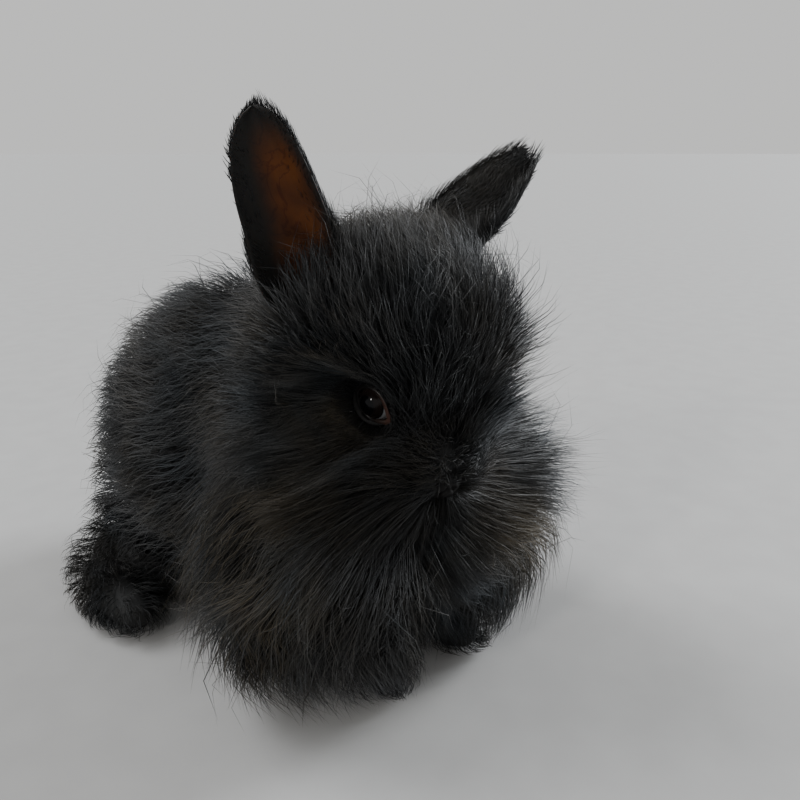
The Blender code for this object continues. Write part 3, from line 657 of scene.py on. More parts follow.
def finish_piece(thing, material):
    """Move a piece from design coordinates to the frame, give it its material where one is given, and
    hang it under the root body.
    """
    thing.data.transform(Matrix.Translation(SHIFT * MM))
    if material:
        thing.data.materials.clear()
        thing.data.materials.append(material)
    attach(thing, "root")
    return thing


# The face's lines, as places up and to the side in the head's frame, and their points
NOSTRIL = ((-9.6, 1.5), (-10.8, 3.0), (-12.4, 4.2), (-13.6, 4.4))
CLEFT = ((-14.2, 0), (-16.0, 0), (-18.0, 0), (-19.8, 0))
HALF_MOUTH = ((-20.2, 0), (-21.4, 2.4), (-22.2, 5), (-22.2, 7), (-21.6, 9.5), (-20.4, 12))
LINE_POINTS = 60
FACE_FRONT = (14, 24)


def moved(places, rise, shift, side):
    return [(up + rise, (across + shift) * side) for up, across in places]


def face_lines():
    """Each line's places, its width, and its depth, which is negative for a ridge."""
    mouth = moved(HALF_MOUTH[:0:-1], 0, 0, -1) + list(HALF_MOUTH)
    lines = [(moved(mouth[1:-1], -2.0, 0, 1), 1.3, -0.9), (mouth, 0.75, 1.9), (CLEFT, 0.7, 1.6)]
    for side in SIDES.values():
        lines.append((moved(NOSTRIL, 0.6, 1.3, side), 1.0, -0.6))
        lines.append((moved(NOSTRIL, 0, 0, side), 0.75, 2.2))
    return lines


def press_line(points, normals, places, width, depth):
    """Press a groove, or raise a ridge, along a line on the front of the face."""
    local = in_head_frame(points)
    steps = np.linspace(0, len(places) - 1, LINE_POINTS)
    gap = np.full(len(points), 1e9)
    for up, side in zip(*(np.interp(steps, range(len(places)), part) for part in zip(*places))):
        gap = np.minimum(gap, np.hypot(local[:, 1] - up, local[:, 2] - side))
    front = smooth(*FACE_FRONT, local[:, 0])
    return points - normals * (depth * np.exp(-((gap / width) ** 2)) * front)[:, None]


def build_skin(grids):
    """One closed skin of head, ears and body, with sockets, lids, nostrils and lips."""
    skin = melted("skin", True, HEAD_VOXEL)
    points = points_of(skin)
    shape = bmesh.new()
    shape.from_mesh(skin.data)
    shape.normal_update()
    normals = np.array([v.normal[:] for v in shape.verts])
    shape.free()
    for places, width, depth in face_lines():
        points = press_line(points, normals, places, width, depth)
    set_points(skin, points)
    for name, side in SIDES.items():
        centre, _, ahead, up = eye_frame(side)
        boolean(skin, ball(centre, EYE_RADIUS + LID_MOUND, 48), "UNION")
        rings = [lid_outline(side, share, depth) for share, depth in LID_RINGS]
        rings[-1] = rings[-1] + ahead * OPENING_SHIFT[0] + up * OPENING_SHIFT[1]
        boolean(skin, ring_loft("opening", rings), "DIFFERENCE")
        boolean(skin, ball(centre, EYE_RADIUS + SOCKET_GAP, 64), "DIFFERENCE")
        boolean(skin, ear_object(grids[name]), "UNION")
    boolean(skin, melted("body", False, BODY_VOXEL), "UNION")
    edit(skin.data, bmesh.ops.triangulate)
    points = points_of(skin)
    points[:, 2] = np.maximum(points[:, 2], 0.0)
    set_points(skin, points)
    skin.data.shade_smooth()
    return skin


def unwrap(thing):
    """An unwrap of the skin's own shape, as the map named OFBake."""
    thing.data.uv_layers.new(name="OFBake")
    bpy.context.view_layer.objects.active = thing
    thing.select_set(True)
    bpy.ops.object.mode_set(mode="EDIT")
    bpy.ops.mesh.select_all(action="SELECT")
    bpy.ops.uv.smart_project(angle_limit=math.radians(66), island_margin=0.004)
    bpy.ops.object.mode_set(mode="OBJECT")
    thing.select_set(False)


# Each coat: the regions it grows on, its number of strands, the lowest and highest share of
# the wool's depth that they reach, their length against that depth, width, spread in degrees,
# spacing of the locks at the skin, how tightly they hold, their wave, and the finish
COATS = {
    "coat_face": (("face", "nose"), 8500, (0.5, 1.15), 1.7, 0.28, 12, 2.5, 0.4, 0.5, "face"),
    "coat_muzzle": (("muzzle", "chin"), 8500, (0.5, 1.5), 1.5, 0.30, 15, 2.5, 0.4, 0.9, "face"),
    "coat_crown": (("crown",), 11700, (0.4, 1.15), 1.25, 0.38, 13, 4.0, 0.5, 2.4, "wool"),
    "coat_cheeks": (("cheek",), 11500, (0.4, 1.15), 1.4, 0.38, 12, 3.5, 0.6, 2.4, "wool"),
    "coat_bib": (("bib",), 9500, (0.4, 1.25), 1.5, 0.42, 13, 4.5, 0.6, 2.6, "wool"),
    "coat_neck": (("neck", "chest"), 7000, (0.4, 1.15), 1.5, 0.44, 13, 5.0, 0.5, 2.6, "wool"),
    "coat_back": (("back",), 8000, (0.4, 1.2), 1.5, 0.44, 15, 5.0, 0.45, 2.8, "wool"),
    "coat_rump": (("rump", "tail", "haunch"), 10300, (0.4, 1.2), 1.5, 0.44, 14, 5.0, 0.5, 2.6, "wool"),
    "coat_feet": (("foot", "paw"), 9500, (0.4, 1.25), 1.7, 0.38, 16, 3.0, 0.5, 0.9, "foot"),
}
GROWTH_STEPS = 7
STATIONS = (0, 3, 5, 7)
ROOT_SINK = 0.8
SHORTEST = 2.2
DEPTH_RANGE = (3, 40)

# Ears stand this far or more outside the body, where no wool of the body grows
EAR_CLEAR = 2.5

# Loose strands: their share, how much further and wider they go, and their width
FLYAWAYS = 0.07
FLYAWAY_LIFT = (1.05, 1.35)
FLYAWAY_SPREAD = 2.2
FLYAWAY_WIDTH = 0.6

# How much paler a strand may be for its lock, for itself and for its reach
LOCK_TONE = 0.28
STRAND_TONE = 0.06
REACH_TONE = 0.2

# The cosine of a strand's sharpest bend, so that none is kinked
SHARPEST = 0.55

# How far the wool may reach past the solids' box
OVER_BOX = 12.5
BOX_LOW = np.array(CAD_BOX[0]) / MM - SHIFT - OVER_BOX
BOX_HIGH = np.array(CAD_BOX[1]) / MM - SHIFT + OVER_BOX
WIDTH_PROFILE = {3: (0.55, 1.0, 0.75), 5: (0.5, 0.95, 1.0, 0.8, 0.45)}
STRAND_SECTION = ((1, -0.3), (0, 0.7), (-1, -0.3))
PATCH = 0.003
FLOOR_GAP = 0.6
FLOOR_KNEE = 7.0

# The wool is short round the eyes, and deepens with distance from them
EYE_BARE = 0.5
EYE_FULL = {"right": 17.0, "left": 8.0}
SHORT_SHARE = 0.10

# The views that are kept clear before each eye, as steps ahead and up for each step out. The
# near eye's last three are the ways to the camera, to the lamp and from behind. Then how far
# the wool parts
VIEWS = {
    "right": ((0, 0), (0.17, 0.41), (0.34, 0.81), (0.49, 1.16), (-0.35, 0.65), (-0.45, 0.05)),
    "left": ((-0.28, 0.02), (-0.56, 0.04)),
}
SIGHTS = [(SIDES[name], view) for name, views in VIEWS.items() for view in views]
VIEW_WIDENING = 0.010
CLEAR_SHARE = 1.02
PARTING = 1.9
SIGHT_LENGTH = 60

# The lie of the coat on the body, as shares to the side, back and up
BODY_LIE, BIB_LIE, FOOT_LIE = (0.18, 1, -0.5), (0.7, -0.2, -1), (0.2, -0.8, -0.9)
LIES = {
    "rump": BODY_LIE, "back": BODY_LIE, "neck": BODY_LIE, "haunch": BODY_LIE,
    "chest": BIB_LIE, "bib": BIB_LIE, "foot": FOOT_LIE, "paw": FOOT_LIE,
}

# On the head it runs away from the nose, and up on the crown. On the tail it runs from its root
NOSE = np.array((42.0, -14, 0))
HEAD_DROOP = np.array((0, 0.06, -0.26))
CROWN_LIE = np.array((-0.2, 0.9, 0))
CROWN_HEIGHTS = (8, 30)
TAIL_ROOT = np.array((0, 96, 58))

# It wanders over this length, by this share
WANDER_LENGTH = 34.0
WANDER = 0.42
WAVE_COUNT = 10


def wander_waves():
    """Directions, pushes and starts of the waves that make the coat's lie wander."""
    rng = np.random.default_rng(SEED + 1)
    sizes = math.tau / (WANDER_LENGTH * rng.uniform(0.6, 1.6, (WAVE_COUNT, 1)))
    ways = unit(rng.normal(size=(WAVE_COUNT, 3))) * sizes
    return ways, rng.normal(size=(WAVE_COUNT, 3)), rng.random(WAVE_COUNT) * math.tau


WAVES = wander_waves()


def wander(points):
    """A smooth push that changes from place to place."""
    waves, pushes, starts = WAVES
    return np.sin(points @ waves.T + starts) @ pushes * (WANDER / 2.2)


def lie_field(points, parts):
    """The way the coat lies at each point, before it is laid on the body."""
    side = np.sign(points[:, :1]) + (points[:, :1] == 0)
    mirror = np.concatenate((side, np.ones((len(points), 2))), 1)
    local = in_head_frame(points)
    away = unit(local - NOSE)
    away[:, 1] += 0.10
    top = smooth(*CROWN_HEIGHTS, local[:, 1])[:, None]
    away = away * (1 - 0.35 * top) + CROWN_LIE * 0.35 * top
    head = unit(away) @ TURN.T + HEAD_DROOP * (1 - top)
    tail = unit(points - TAIL_ROOT)
    lie = np.zeros_like(points)
    for i, region in enumerate(REGIONS):
        if region in LIES:
            way = mirror * LIES[region]
        else:
            way = tail if region == "tail" else head
        lie += way * parts[:, i:i + 1]
    return unit(lie) + wander(points)


def room_by_eyes(points):
    """Share of the wool's depth that is used near the eyes."""
    room = np.ones(len(points))
    for name, side in SIDES.items():
        centre = head_point(1, 0, side * (EYE_SIDE + 6))
        gap = np.linalg.norm(points - centre, axis=1) - LID_HALF_LENGTH
        room = np.minimum(room, smooth(EYE_BARE, EYE_FULL[name], gap))
    return SHORT_SHARE + (1 - SHORT_SHARE) * room


def sight_place(points, side, view):
    """How far ahead and up points are in a view of an eye, as shares, and their depth."""
    centre, out, ahead, up = eye_frame(side)
    local = points - centre
    depth = local @ out
    above = np.clip(depth - LID_DEPTH, 0, None)
    wide = 1 + VIEW_WIDENING * above
    along = (local @ ahead - 0.4 - above * view[0]) / (LID_HALF_LENGTH * wide)
    high = (local @ up - above * view[1]) / (LID_HALF_HEIGHT * wide)
    return along, high, depth, wide


def in_sight(points):
    """Which points are in the space that is kept clear in front of each eye."""
    blocked = np.zeros(points.shape[:-1], bool)
    for side, view in SIGHTS:
        along, high, depth, _ = sight_place(points, side, view)
        blocked |= (depth > 1.0) & (depth < SIGHT_LENGTH) & (along**2 + high**2 < 0.95)
    return blocked


def parted(points):
    """Wool in the view of an eye, moved aside so that it parts round the eye."""
    for side, view in SIGHTS:
        _, _, ahead, up = eye_frame(side)
        along, high, depth, wide = sight_place(points, side, view)
        reach = np.hypot(along, high)
        share = np.clip(reach / PARTING, 0, 1) ** 2.2
        wanted = CLEAR_SHARE + (PARTING - CLEAR_SHARE) * share
        near = (reach < PARTING) & (depth > 2) & (depth < SIGHT_LENGTH)
        push = np.where(near, wanted / np.maximum(reach, 0.05) - 1, 0)
        points = points + ahead * (along * push * LID_HALF_LENGTH * wide)[..., None]
        points = points + up * (high * push * LID_HALF_HEIGHT * wide)[..., None]
    return points


def crosses_sight(paths):
    """Which strands pass through the view of an eye anywhere along their length."""
    crossed = np.zeros(len(paths), bool)
    for share in (0, 0.25, 0.5, 0.75, 1):
        crossed |= in_sight(paths[:, :-1] * (1 - share) + paths[:, 1:] * share).any(1)
    return crossed


def scatter(skin_data, weights, count, rng):
    """Random roots on the skin's triangles: places, directions and places on the unwrap."""
    corners, normals, areas, maps = skin_data
    chance = areas * weights
    picked = rng.choice(len(areas), count, p=chance / chance.sum())
    u, v = np.sort(rng.random((2, count)), 0)
    shares = np.stack((u, v - u, 1 - v), 1)[:, :, None]
    places = (corners[picked] * shares).sum(1)
    return places, normals[picked], (maps[picked] * shares).sum(1)


def laid(lie, way):
    """Part of a direction that lies along the body."""
    return unit(lie - way * (lie * way).sum(1, keepdims=True))


def tree_of(places):
    """A search tree of numbered places."""
    tree = KDTree(len(places))
    for number, place in places:
        tree.insert(place, number)
    tree.balance()
    return tree


def locks_of(roots, spacing, rng):
    """For each strand, the leading strand of its lock."""
    leaders = {}
    for i in rng.permutation(len(roots)):
        leaders.setdefault(tuple((roots[i] // spacing).astype(int)), i)
    tree = tree_of([(i, roots[i]) for i in leaders.values()])
    return np.array([tree.find(root)[1] for root in roots])


def grow(roots, normals, lengths, lifts, noise_way, curl, wave):
    """Paths of strands that leave the skin and bend over along the coat's lie."""
    place = roots.copy()
    _, way, parts = field(place, 0)
    heading = laid(lie_field(place, parts) + noise_way, way)
    paths = [roots - normals * ROOT_SINK]
    for k in range(1, GROWTH_STEPS + 1):
        share = k / GROWTH_STEPS
        rise = 1 - (1 - share) ** 1.8
        place = place + heading * (lengths * 0.9 / GROWTH_STEPS)[:, None]
        depth, way, parts = field(place, 0)
        ceiling, _, _ = field(place, 1)
        room = np.maximum((depth - ceiling) * room_by_eyes(place), SHORTEST * 0.6)
        place = place + way * (room * lifts * rise - depth)[:, None]
        turned = laid(lie_field(place, parts) + noise_way, way)
        heading = unit(heading * 2.5 + turned)
        side = np.cross(heading, way)
        bend = curl * share * (
            side * np.sin(wave[0] + share * 4)[:, None] + way * np.sin(wave[1] + share * 3)[:, None]
        )
        if k in STATIONS:
            paths.append(place + bend)
    return np.stack(paths, 1)


def gather_locks(paths, nearest, tightness, rng):
    """Draw strands into soft locks, side by side with a leading strand."""
    shares = np.array((0, 0.55, 0.9, 1.0))[None, :, None]
    pull = (tightness * rng.uniform(0.35, 1.2, len(paths)))[:, None, None] * shares
    sizes = np.linalg.norm(paths[:, -1] - paths[:, 0], axis=1)
    lead = paths[nearest]
    reach = np.clip(sizes / np.maximum(sizes[nearest], 1), 0.4, 1.4)[:, None, None]
    target = lead[:, :1] + (lead - lead[:, :1]) * reach
    return paths * (1 - pull) + target * pull


def above_floor(points):
    """Wool near or under the floor, pressed up so that it spreads over it."""
    height, knee = points[..., 2], FLOOR_GAP + FLOOR_KNEE
    bent = FLOOR_GAP + FLOOR_KNEE * np.exp((height - knee) / FLOOR_KNEE)
    points[..., 2] = np.where(height < knee, bent, height)
    return points


def strand_mesh(name, paths, widths, normals, tones, maps):
    """Closed tapered strands of three sides along paths, as one object with its bake map."""
    count, stations = paths.shape[:2]
    rings = stations - 1
    along = unit(np.gradient(paths, axis=1))
    side = unit(np.cross(along, normals[:, None]))[:, :rings]
    up = np.cross(side, along[:, :rings])
    half = widths[:, None, None] / 2 * np.array(WIDTH_PROFILE[rings])[None, :, None]
    points = [paths[:, :rings] + side * half * x + up * half * y for x, y in STRAND_SECTION]
    points = np.stack(points, 2).reshape(count, rings * 3, 3)
    points = np.concatenate((points, paths[:, -1:]), 1)
    per = rings * 3 + 1
    quads = ring_faces(rings, 3, False)
    tris = [(0, 2, 1)] + [(per - 4 + j, per - 4 + (j + 1) % 3, per - 1) for j in range(3)]
    starts = np.arange(count)[:, None, None] * per
    loops = [(starts + np.array(faces)).reshape(count, -1) for faces in (quads, tris)]
    loops = np.concatenate(loops, 1).ravel()
    sizes = np.tile([4] * len(quads) + [3] * len(tris), count)
    mesh = bpy.data.meshes.new(name)
    mesh.vertices.add(count * per)
    mesh.vertices.foreach_set("co", (points * MM).astype(np.float32).ravel())
    mesh.loops.add(loops.size)
    mesh.loops.foreach_set("vertex_index", loops.astype(np.int32))
    mesh.polygons.add(len(sizes))
    mesh.polygons.foreach_set("loop_start", (np.cumsum(sizes) - sizes).astype(np.int32))
    mesh.update(calc_edges=True)
    mesh.shade_smooth()
    thing = link(name, mesh)
    shares = np.concatenate((np.repeat(np.linspace(0, 1, rings + 1)[:rings], 3), [1.0]))
    set_tones(thing, np.clip(tones[:, None] + (shares - 0.5) * 0.9, 0, 1))
    around = np.concatenate((np.tile((-0.5, 0, 0.5), rings), [0.0]))
    spots = maps[:, None] + np.stack((around, shares - 0.5), 1) * PATCH
    layer = mesh.uv_layers.new(name="OFBake")
    layer.data.foreach_set("uv", spots.reshape(-1, 2)[loops].astype(np.float32).ravel())
    return thing


def near_nostrils(points):
    """Roots on the bare pad of the nose and in the line of the mouth."""
    ahead, up, side = in_head_frame(points).T
    pad = (ahead > 38) & (np.abs(side) < 5.0) & (np.abs(up + 12) < 3.6)
    return pad | ((ahead > 30) & (np.abs(side) < 0.7) & (up > -20))


def kinked(paths):
    """Which strands bend too sharply."""
    steps = unit(np.diff(paths, axis=1))
    return (steps[:, 1:] * steps[:, :-1]).sum(-1).min(1) <= SHARPEST


def grow_coat(name, skin_data, face_parts, materials, rng):
    """One region's wool as a mesh of strands."""
    (regions, count, (low, high), longer, width, spread, spacing, tightness, curl,
     finish) = COATS[name]
    depths = np.clip(-field(skin_data[0].mean(1), 1)[0], *DEPTH_RANGE)
    weights = face_parts[:, np.isin(REGIONS, regions)].sum(1)
    weights = np.where(weights > 0.02, weights * depths**0.6, 0)
    roots, normals, maps = scatter(skin_data, weights, count, rng)
    depth = np.maximum(-field(roots, 1)[0] * room_by_eyes(roots), SHORTEST)
    lifts = low + (high - low) * rng.beta(2.4, 1.1, count)
    free = rng.random(count) < FLYAWAYS
    lifts[free] *= rng.uniform(*FLYAWAY_LIFT, free.sum())
    lengths = depth * longer * (0.5 + 0.5 * lifts / high) * rng.uniform(0.8, 1.2, count)
    widths = width * rng.uniform(0.7, 1.25, count) * np.where(free, FLYAWAY_WIDTH, 1.0)
    noise_way = rng.normal(0, math.tan(math.radians(spread)), (count, 3))
    noise_way[free] *= FLYAWAY_SPREAD
    nearest = locks_of(roots, spacing, rng)
    wave = rng.random((2, count))[:, nearest] * math.tau + rng.normal(0, 0.5, (2, count))
    bend = curl * rng.uniform(0.4, 1.4, count)[:, None]
    paths = grow(roots, normals, lengths, lifts, noise_way, bend, wave)
    gathered = gather_locks(paths, nearest, tightness, rng)
    paths = np.where(free[:, None, None], paths, gathered)
    paths[:, 1:] = parted(paths[:, 1:])
    keep = ~crosses_sight(paths) & ~near_nostrils(roots)
    paths = above_floor(paths)
    keep &= ((paths > BOX_LOW) & (paths < BOX_HIGH)).all((1, 2)) & ~kinked(paths)
    by_lock = rng.random(count)[nearest]
    tones = 0.5 + LOCK_TONE * (by_lock - 0.5) + rng.normal(0, STRAND_TONE, count)
    tones += REACH_TONE * (lifts - 0.9)
    thing = strand_mesh(name, paths[keep], widths[keep], normals[keep], tones[keep], maps[keep])
    finish_piece(thing, materials[finish])


def skin_triangles(skin):
    """Corners, normals, areas and unwrapped corners of the skin's triangles."""
    mesh = skin.data
    mesh.calc_loop_triangles()
    corners = points_of(skin)[read(mesh.loop_triangles, "vertices", 3)]
    maps = read(mesh.uv_layers["OFBake"].data, "uv", 2, np.float32).astype(float)
    cross = np.cross(corners[:, 1] - corners[:, 0], corners[:, 2] - corners[:, 0])
    areas = np.linalg.norm(cross, axis=1) / 2
    return corners, unit(cross), areas, maps[read(mesh.loop_triangles, "loops", 3)]


def build_coat(skin_data, materials, rng):
    """All the wool on the body and head."""
    distance, _, parts = field(skin_data[0].mean(1), 0)
    parts[distance > EAR_CLEAR] = 0
    for name in COATS:
        grow_coat(name, skin_data, parts, materials, rng)


# An ear's furs: on its inside or not, strands, length, width, how much they stand, how far from
# the rim they grow, where nothing means all over, how much longer they are at the root, and how
# much they lean to the rim
EAR_FURS = {
    "back": (False, 3300, 9.5, 0.32, 0.32, None, 1.3, 0.35),
    "fringe": (False, 1500, 12.0, 0.24, 0.50, 0.07, 0.6, 0.9),
    "inside": (True, 600, 5.5, 0.20, 0.40, 0.22, 0.0, -0.6),
}
EAR_ROOT_SINK = 0.3


def ear_fur(name, grids, find_map, materials, rng):
    """Fur on the back of an ear, longest at its root, fringes on its rim and hairs inside."""
    outer, inner, ways, axes = grids
    rows, columns = outer.shape[:2]
    for kind, (is_inside, count, length, width, stand, rim, root_gain, rim_lean) in EAR_FURS.items():
        share = rng.uniform(0.02, 0.995, count) ** 1.15
        edge = rng.uniform(-1, 1, count)
        if rim:
            edge = np.sign(edge) * np.clip(1 - np.abs(rng.normal(0, rim, count)), 0, 1)
        i = np.clip(share * (rows - 1), 0, rows - 1.001)
        j = np.clip((edge + 1) / 2 * (columns - 1), 0, columns - 1.001)
        a, b = i.astype(int), j.astype(int)
        s, t = (i - a)[:, None], (j - b)[:, None]

        def sample(grid):
            near = grid[a, b] * (1 - s) * (1 - t) + grid[a + 1, b] * s * (1 - t)
            return near + grid[a, b + 1] * (1 - s) * t + grid[a + 1, b + 1] * s * t

        roots = sample(inner if is_inside else outer)
        axis = unit(sample(axes))
        side = unit(np.cross(axis, sample(ways)))
        way = unit(sample(ways)) * (-1 if is_inside else 1)
        head = axis + side * (rim_lean * edge[:, None]) + rng.normal(0, 0.13, (count, 3))
        head = laid(head + wander(roots) * 0.6, way)
        lengths = length * rng.uniform(0.6, 1.3, count) * (1 - 0.65 * share)
        if kind == "fringe":
            inner_edge = np.clip(-edge * SIDES[name], 0, 1)
            lengths *= 1 + 0.3 * inner_edge + (0.5 if name == "left" else 0)
        lengths *= 1 + root_gain * (1 - smooth(0.05, 0.5, share))
        paths = [roots - way * EAR_ROOT_SINK]
        for station in STATIONS[1:]:
            u = station / GROWTH_STEPS
            lift = stand * lengths * (u - 0.5 * u * u)
            paths.append(roots + head * (lengths * u)[:, None] + way * lift[:, None])
        piece = strand_mesh(
            f"ear_{name}_fur_{kind}", np.stack(paths, 1), width * rng.uniform(0.7, 1.3, count),
            way, 0.45 + rng.normal(0, 0.10, count), find_map(roots),
        )
        finish_piece(piece, materials["face"])


def map_finder(skin_data):
    """A function that gives places on the skin's unwrap for points near it."""
    corners, _, _, maps = skin_data
    tree = tree_of(list(enumerate(corners.mean(1))))

    def find(points):
        return np.array([maps[tree.find(point)[1]].mean(0) for point in points])

    return find


def build_eye(name, side, materials):
    """The ball with its bulging cornea, and the wet pink and dark rims of the lids."""
    centre, out, ahead, up = eye_frame(side)
    shape = bmesh.new()
    bmesh.ops.create_uvsphere(shape, u_segments=96, v_segments=64, radius=1)
    eye = link(f"eye_{name}_ball", mesh_of(f"eye_{name}", shape))
    look = unit(out * GAZE[0] + ahead * GAZE[1] + up * GAZE[2])
    side_way = unit(np.cross(up, look))
    local = points_of(eye) * MM
    angles = np.arccos(np.clip(local[:, 2:], -1, 1))
    radii = EYE_RADIUS - EYE_INSET + CORNEA_BULGE * np.maximum(0, 1 - (angles / CORNEA_REACH) ** 2)
    set_points(eye, centre + local @ (side_way, np.cross(look, side_way), look) * radii)
    set_tones(eye, np.clip(angles / WHITE_REACH, 0, 1))
    eye.data.shade_smooth()
    finish_piece(eye, materials["eye"])
    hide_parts(f"eye_{name}")
    path = lid_outline(side, 0.975, LID_DEPTH - 0.1)
    angles = np.linspace(0, math.tau, LID_POINTS, endpoint=False)
    front = np.maximum(0, np.cos(angles - math.radians(20))) ** 1.2
    across, high = LID_RIM + 0.75 * front, LID_RIM + 0.25 * front
    rim = torus_along(f"lid_{name}", path, across, high, out, LID_RIM_SIDES)
    set_tones(rim, np.repeat(np.clip(0.25 + 0.75 * front, 0, 1), LID_RIM_SIDES))
    rim.data.shade_smooth()
    finish_piece(rim, materials["lid"])


def build_whiskers(materials, rng):
    """Long fine whiskers on the lips and a few over each eye, which curve back and droop."""
    back = head_way(-1.0, -0.15, 0) + np.array((0, 0, -0.2))
    paths, normals = [], []
    for side in SIDES.values():
        spots = [
            ((33 - column * 2.6, -11.5 - row * 2.4, side * (7.5 + column * 1.2)),
             (-0.15 - 0.12 * column, 0.25 - 0.22 * row, side), 26 + 3.5 * column, 3, (0, 1, 0))
            for row in range(4) for column in range(5)
        ]
        spots += [
            ((6 - column * 4, 14 + column * 0.6, side * 13),
             (0.1 - 0.2 * column, 0.8, side * 0.6), 17, 2, (1, 0, 0))
            for column in range(4)
        ]
        for root, way, length, vary, normal in spots:
            length += rng.uniform(-vary, vary)
            shares = np.linspace(0, length, 6)[:, None]
            bend = back * rng.uniform(0.2, 0.45) / length
            paths.append(head_point(*root) + TURN @ unit(way) * shares + bend * shares**2)
            normals.append(head_way(*normal))
    count = len(paths)
    thing = strand_mesh(
        "whiskers", np.array(paths), np.full(count, 0.22), np.array(normals),
        rng.uniform(0.3, 0.8, count), rng.uniform(0.3, 0.7, (count, 2)),
    )
    finish_piece(thing, materials["face"])


# The skin belongs to an ear within this distance of it, where it is off the body by the other
EAR_NEAR = 2.5
OFF_BODY = 0.8

# The warm middle of the ear's inside: where it is across the ear, set off centre so that one side is
# darker, partly dark hair and partly painted shade, how far it fades to each side, and where along the
# ear it begins and ends
WARM_EDGE = 0.22
WARM_FADE = (0.20, 0.85)
WARM_START = (0.02, 0.2)
WARM_END = (0.72, 0.97)


def ear_tones(points, grids):
    """Which of the skin's points are on the ears, and how warm each is."""
    labels = []
    for name, side in SIDES.items():
        for layer in range(2):
            grid = grids[name][layer]
            for i, j in np.ndindex(grid.shape[:2]):
                edge = (1 - 2 * j / EAR_COLUMNS) * side
                labels.append((layer, i / (EAR_STATIONS - 1), edge, grid[i, j]))
    tree = tree_of([(n, label[3]) for n, label in enumerate(labels)])
    tones, is_ear = np.zeros(len(points)), np.zeros(len(points), bool)
    distance, _, _ = field(points, 0)
    for n in np.flatnonzero(distance > OFF_BODY):
        _, found, gap = tree.find(points[n])
        layer, share, edge, _ = labels[found]
        is_ear[n] = gap < EAR_NEAR
        if is_ear[n] and layer == 1:
            tones[n] = 1 - smooth(*WARM_FADE, abs(edge - WARM_EDGE))
            tones[n] *= smooth(*WARM_START, share) * (1 - smooth(*WARM_END, share))
    return is_ear, tones


def dress_skin(skin, grids, materials):
    """Materials of the skin: the ears have their own, and so have the nose and the eyes' edges."""
    skin.data.materials.clear()
    for key in ("skin", "ear", "nose"):
        skin.data.materials.append(materials[key])
    points = points_of(skin)
    is_ear, tones = ear_tones(points, grids)
    set_tones(skin, tones)
    ahead, up, across = in_head_frame(points).T
    is_bare = (ahead > 37) & (np.abs(across) < 5.5) & (up > -15.5)
    for side in SIDES.values():
        centre, out, _, _ = eye_frame(side)
        from_eye = points - centre
        is_bare |= (np.linalg.norm(from_eye, axis=1) < LID_REACH) & (from_eye @ out > 0)
    kinds = np.where(is_ear, 1, np.where(is_bare, 2, 0))
    polygons = skin.data.polygons
    corners = read(skin.data.loops, "vertex_index")[read(polygons, "loop_start")].ravel()
    polygons.foreach_set("material_index", kinds[corners].astype(np.int32))
    skin.data.update()


def camera():
    """The camera at the photo's angle, aimed so that the near eye falls on its pixel."""
    level = math.cos(CAMERA_ELEVATION)
    back = np.array((
        math.sin(CAMERA_AZIMUTH) * level, -math.cos(CAMERA_AZIMUTH) * level,
        math.sin(CAMERA_ELEVATION),
    ))
    right = unit(np.cross(-back, (0, 0, 1)))
    up = np.cross(back, right)
    target = head_point(0, 0, -21) + SHIFT
    across, down = PICTURE_WIDTH / 2 - EYE_PIXEL[0], EYE_PIXEL[1] - PICTURE_WIDTH / 2
    scale = CAMERA_DISTANCE / FOCAL_PIXELS
    place = target + back * CAMERA_DISTANCE + right * across * scale + up * down * scale
    data = bpy.data.cameras.new("camera")
    data.sensor_width = SENSOR_WIDTH
    data.lens = SENSOR_WIDTH * FOCAL_PIXELS / PICTURE_WIDTH
    data.clip_start = 0.01
    made = link("camera", data)
    turn = Matrix((right, up, back)).transposed().to_4x4()
    made.matrix_world = Matrix.Translation(place * MM) @ turn
    bpy.context.scene.camera = made


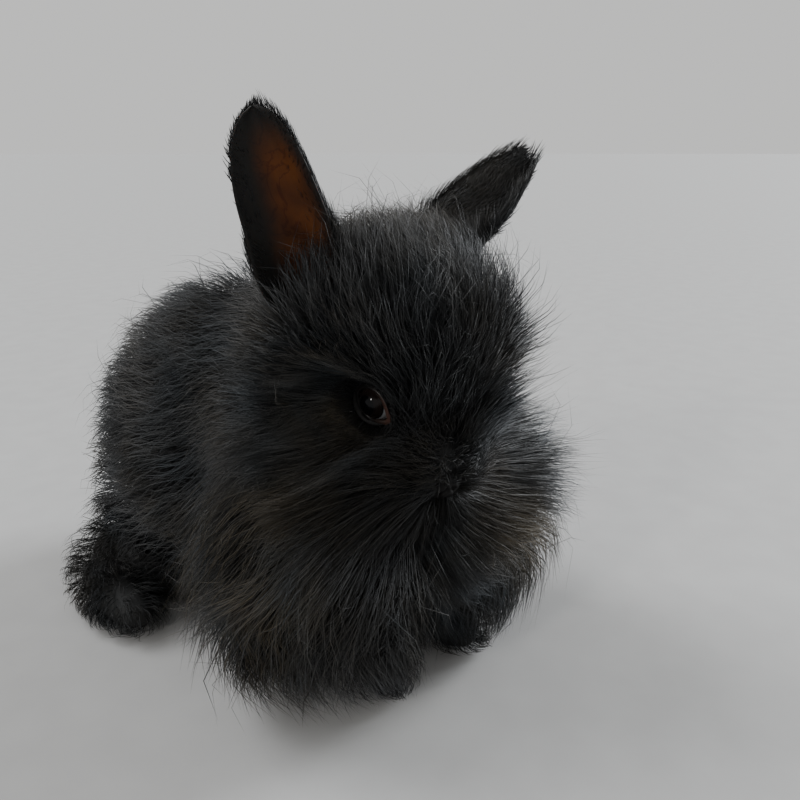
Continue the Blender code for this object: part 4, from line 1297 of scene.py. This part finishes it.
# Far soft lamps: where each stands from the body, its width in degrees, strength and colour
LAMPS = {
    "key": ((-0.89, -0.14, 0.43), 8, 1.0, (1.0, 0.98, 0.94)),
    "top": ((-0.30, 0.60, 0.75), 30, 3.0, (0.96, 0.98, 1.0)),
    "side": ((0.93, -0.14, 0.34), 25, 6.0, (0.92, 0.96, 1.0)),
    "front": ((-0.25, -0.92, 0.30), 40, 0.4, (1.0, 0.98, 0.95)),
}


def stage():
    """A pale floor, soft lamps and a pale surrounding."""
    shape = bmesh.new()
    bmesh.ops.create_circle(shape, cap_ends=True, segments=96, radius=60)
    floor = link("floor", mesh_of("floor", shape))
    floor.data.materials.append(plain_material("floor", FLOOR_COLOURS, 0.8, 40, 0.3, 0.05))
    world = bpy.data.worlds.new("studio")
    world.use_nodes = True
    backdrop = world.node_tree.nodes["Background"]
    backdrop.inputs["Color"].default_value = BACKDROP_COLOUR
    backdrop.inputs["Strength"].default_value = BACKDROP_STRENGTH
    bpy.context.scene.world = world
    for name, (way, width, strength, colour) in LAMPS.items():
        data = bpy.data.lights.new(name, "SUN")
        data.angle, data.energy, data.color = math.radians(width), strength, colour
        made = link(name, data)
        made.rotation_euler = (-Vector(way)).to_track_quat("-Z", "Y").to_euler()
        made.visible_glossy = name != "front"


random_source = np.random.default_rng(SEED)
MATERIALS = {
    "skin": skin_material(),
    "ear": ear_material(),
    "nose": plain_material("nose", NOSE_COLOURS, 0.5, 1500, 0.10, 0.15),
    "eye": eye_material(),
    "lid": lid_material(),
    "wool": wool_material("wool", 0.12, (2.6, 2.55, 2.5), 0.55, 0.06),
    "face": wool_material("face_fur", 0.2, (1.5, 1.45, 1.4), 0.52, 0.04),
    "foot": wool_material("foot_fur", 0.15, (1.15, 1.12, 1.1), 0.6, 0.03),
}
GRIDS = {name: ear_grid(name) for name in SIDES}
SKIN = build_skin(GRIDS)
unwrap(SKIN)
dress_skin(SKIN, GRIDS, MATERIALS)
SKIN_DATA = skin_triangles(SKIN)
build_coat(SKIN_DATA, MATERIALS, random_source)
FIND_MAP = map_finder(SKIN_DATA)
for ear_name in SIDES:
    ear_fur(ear_name, GRIDS[ear_name], FIND_MAP, MATERIALS, random_source)
    build_eye(ear_name, SIDES[ear_name], MATERIALS)
build_whiskers(MATERIALS, random_source)
finish_piece(SKIN, None)
flesh = [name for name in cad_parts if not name.startswith("eye")]
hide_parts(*flesh)
camera()
stage()
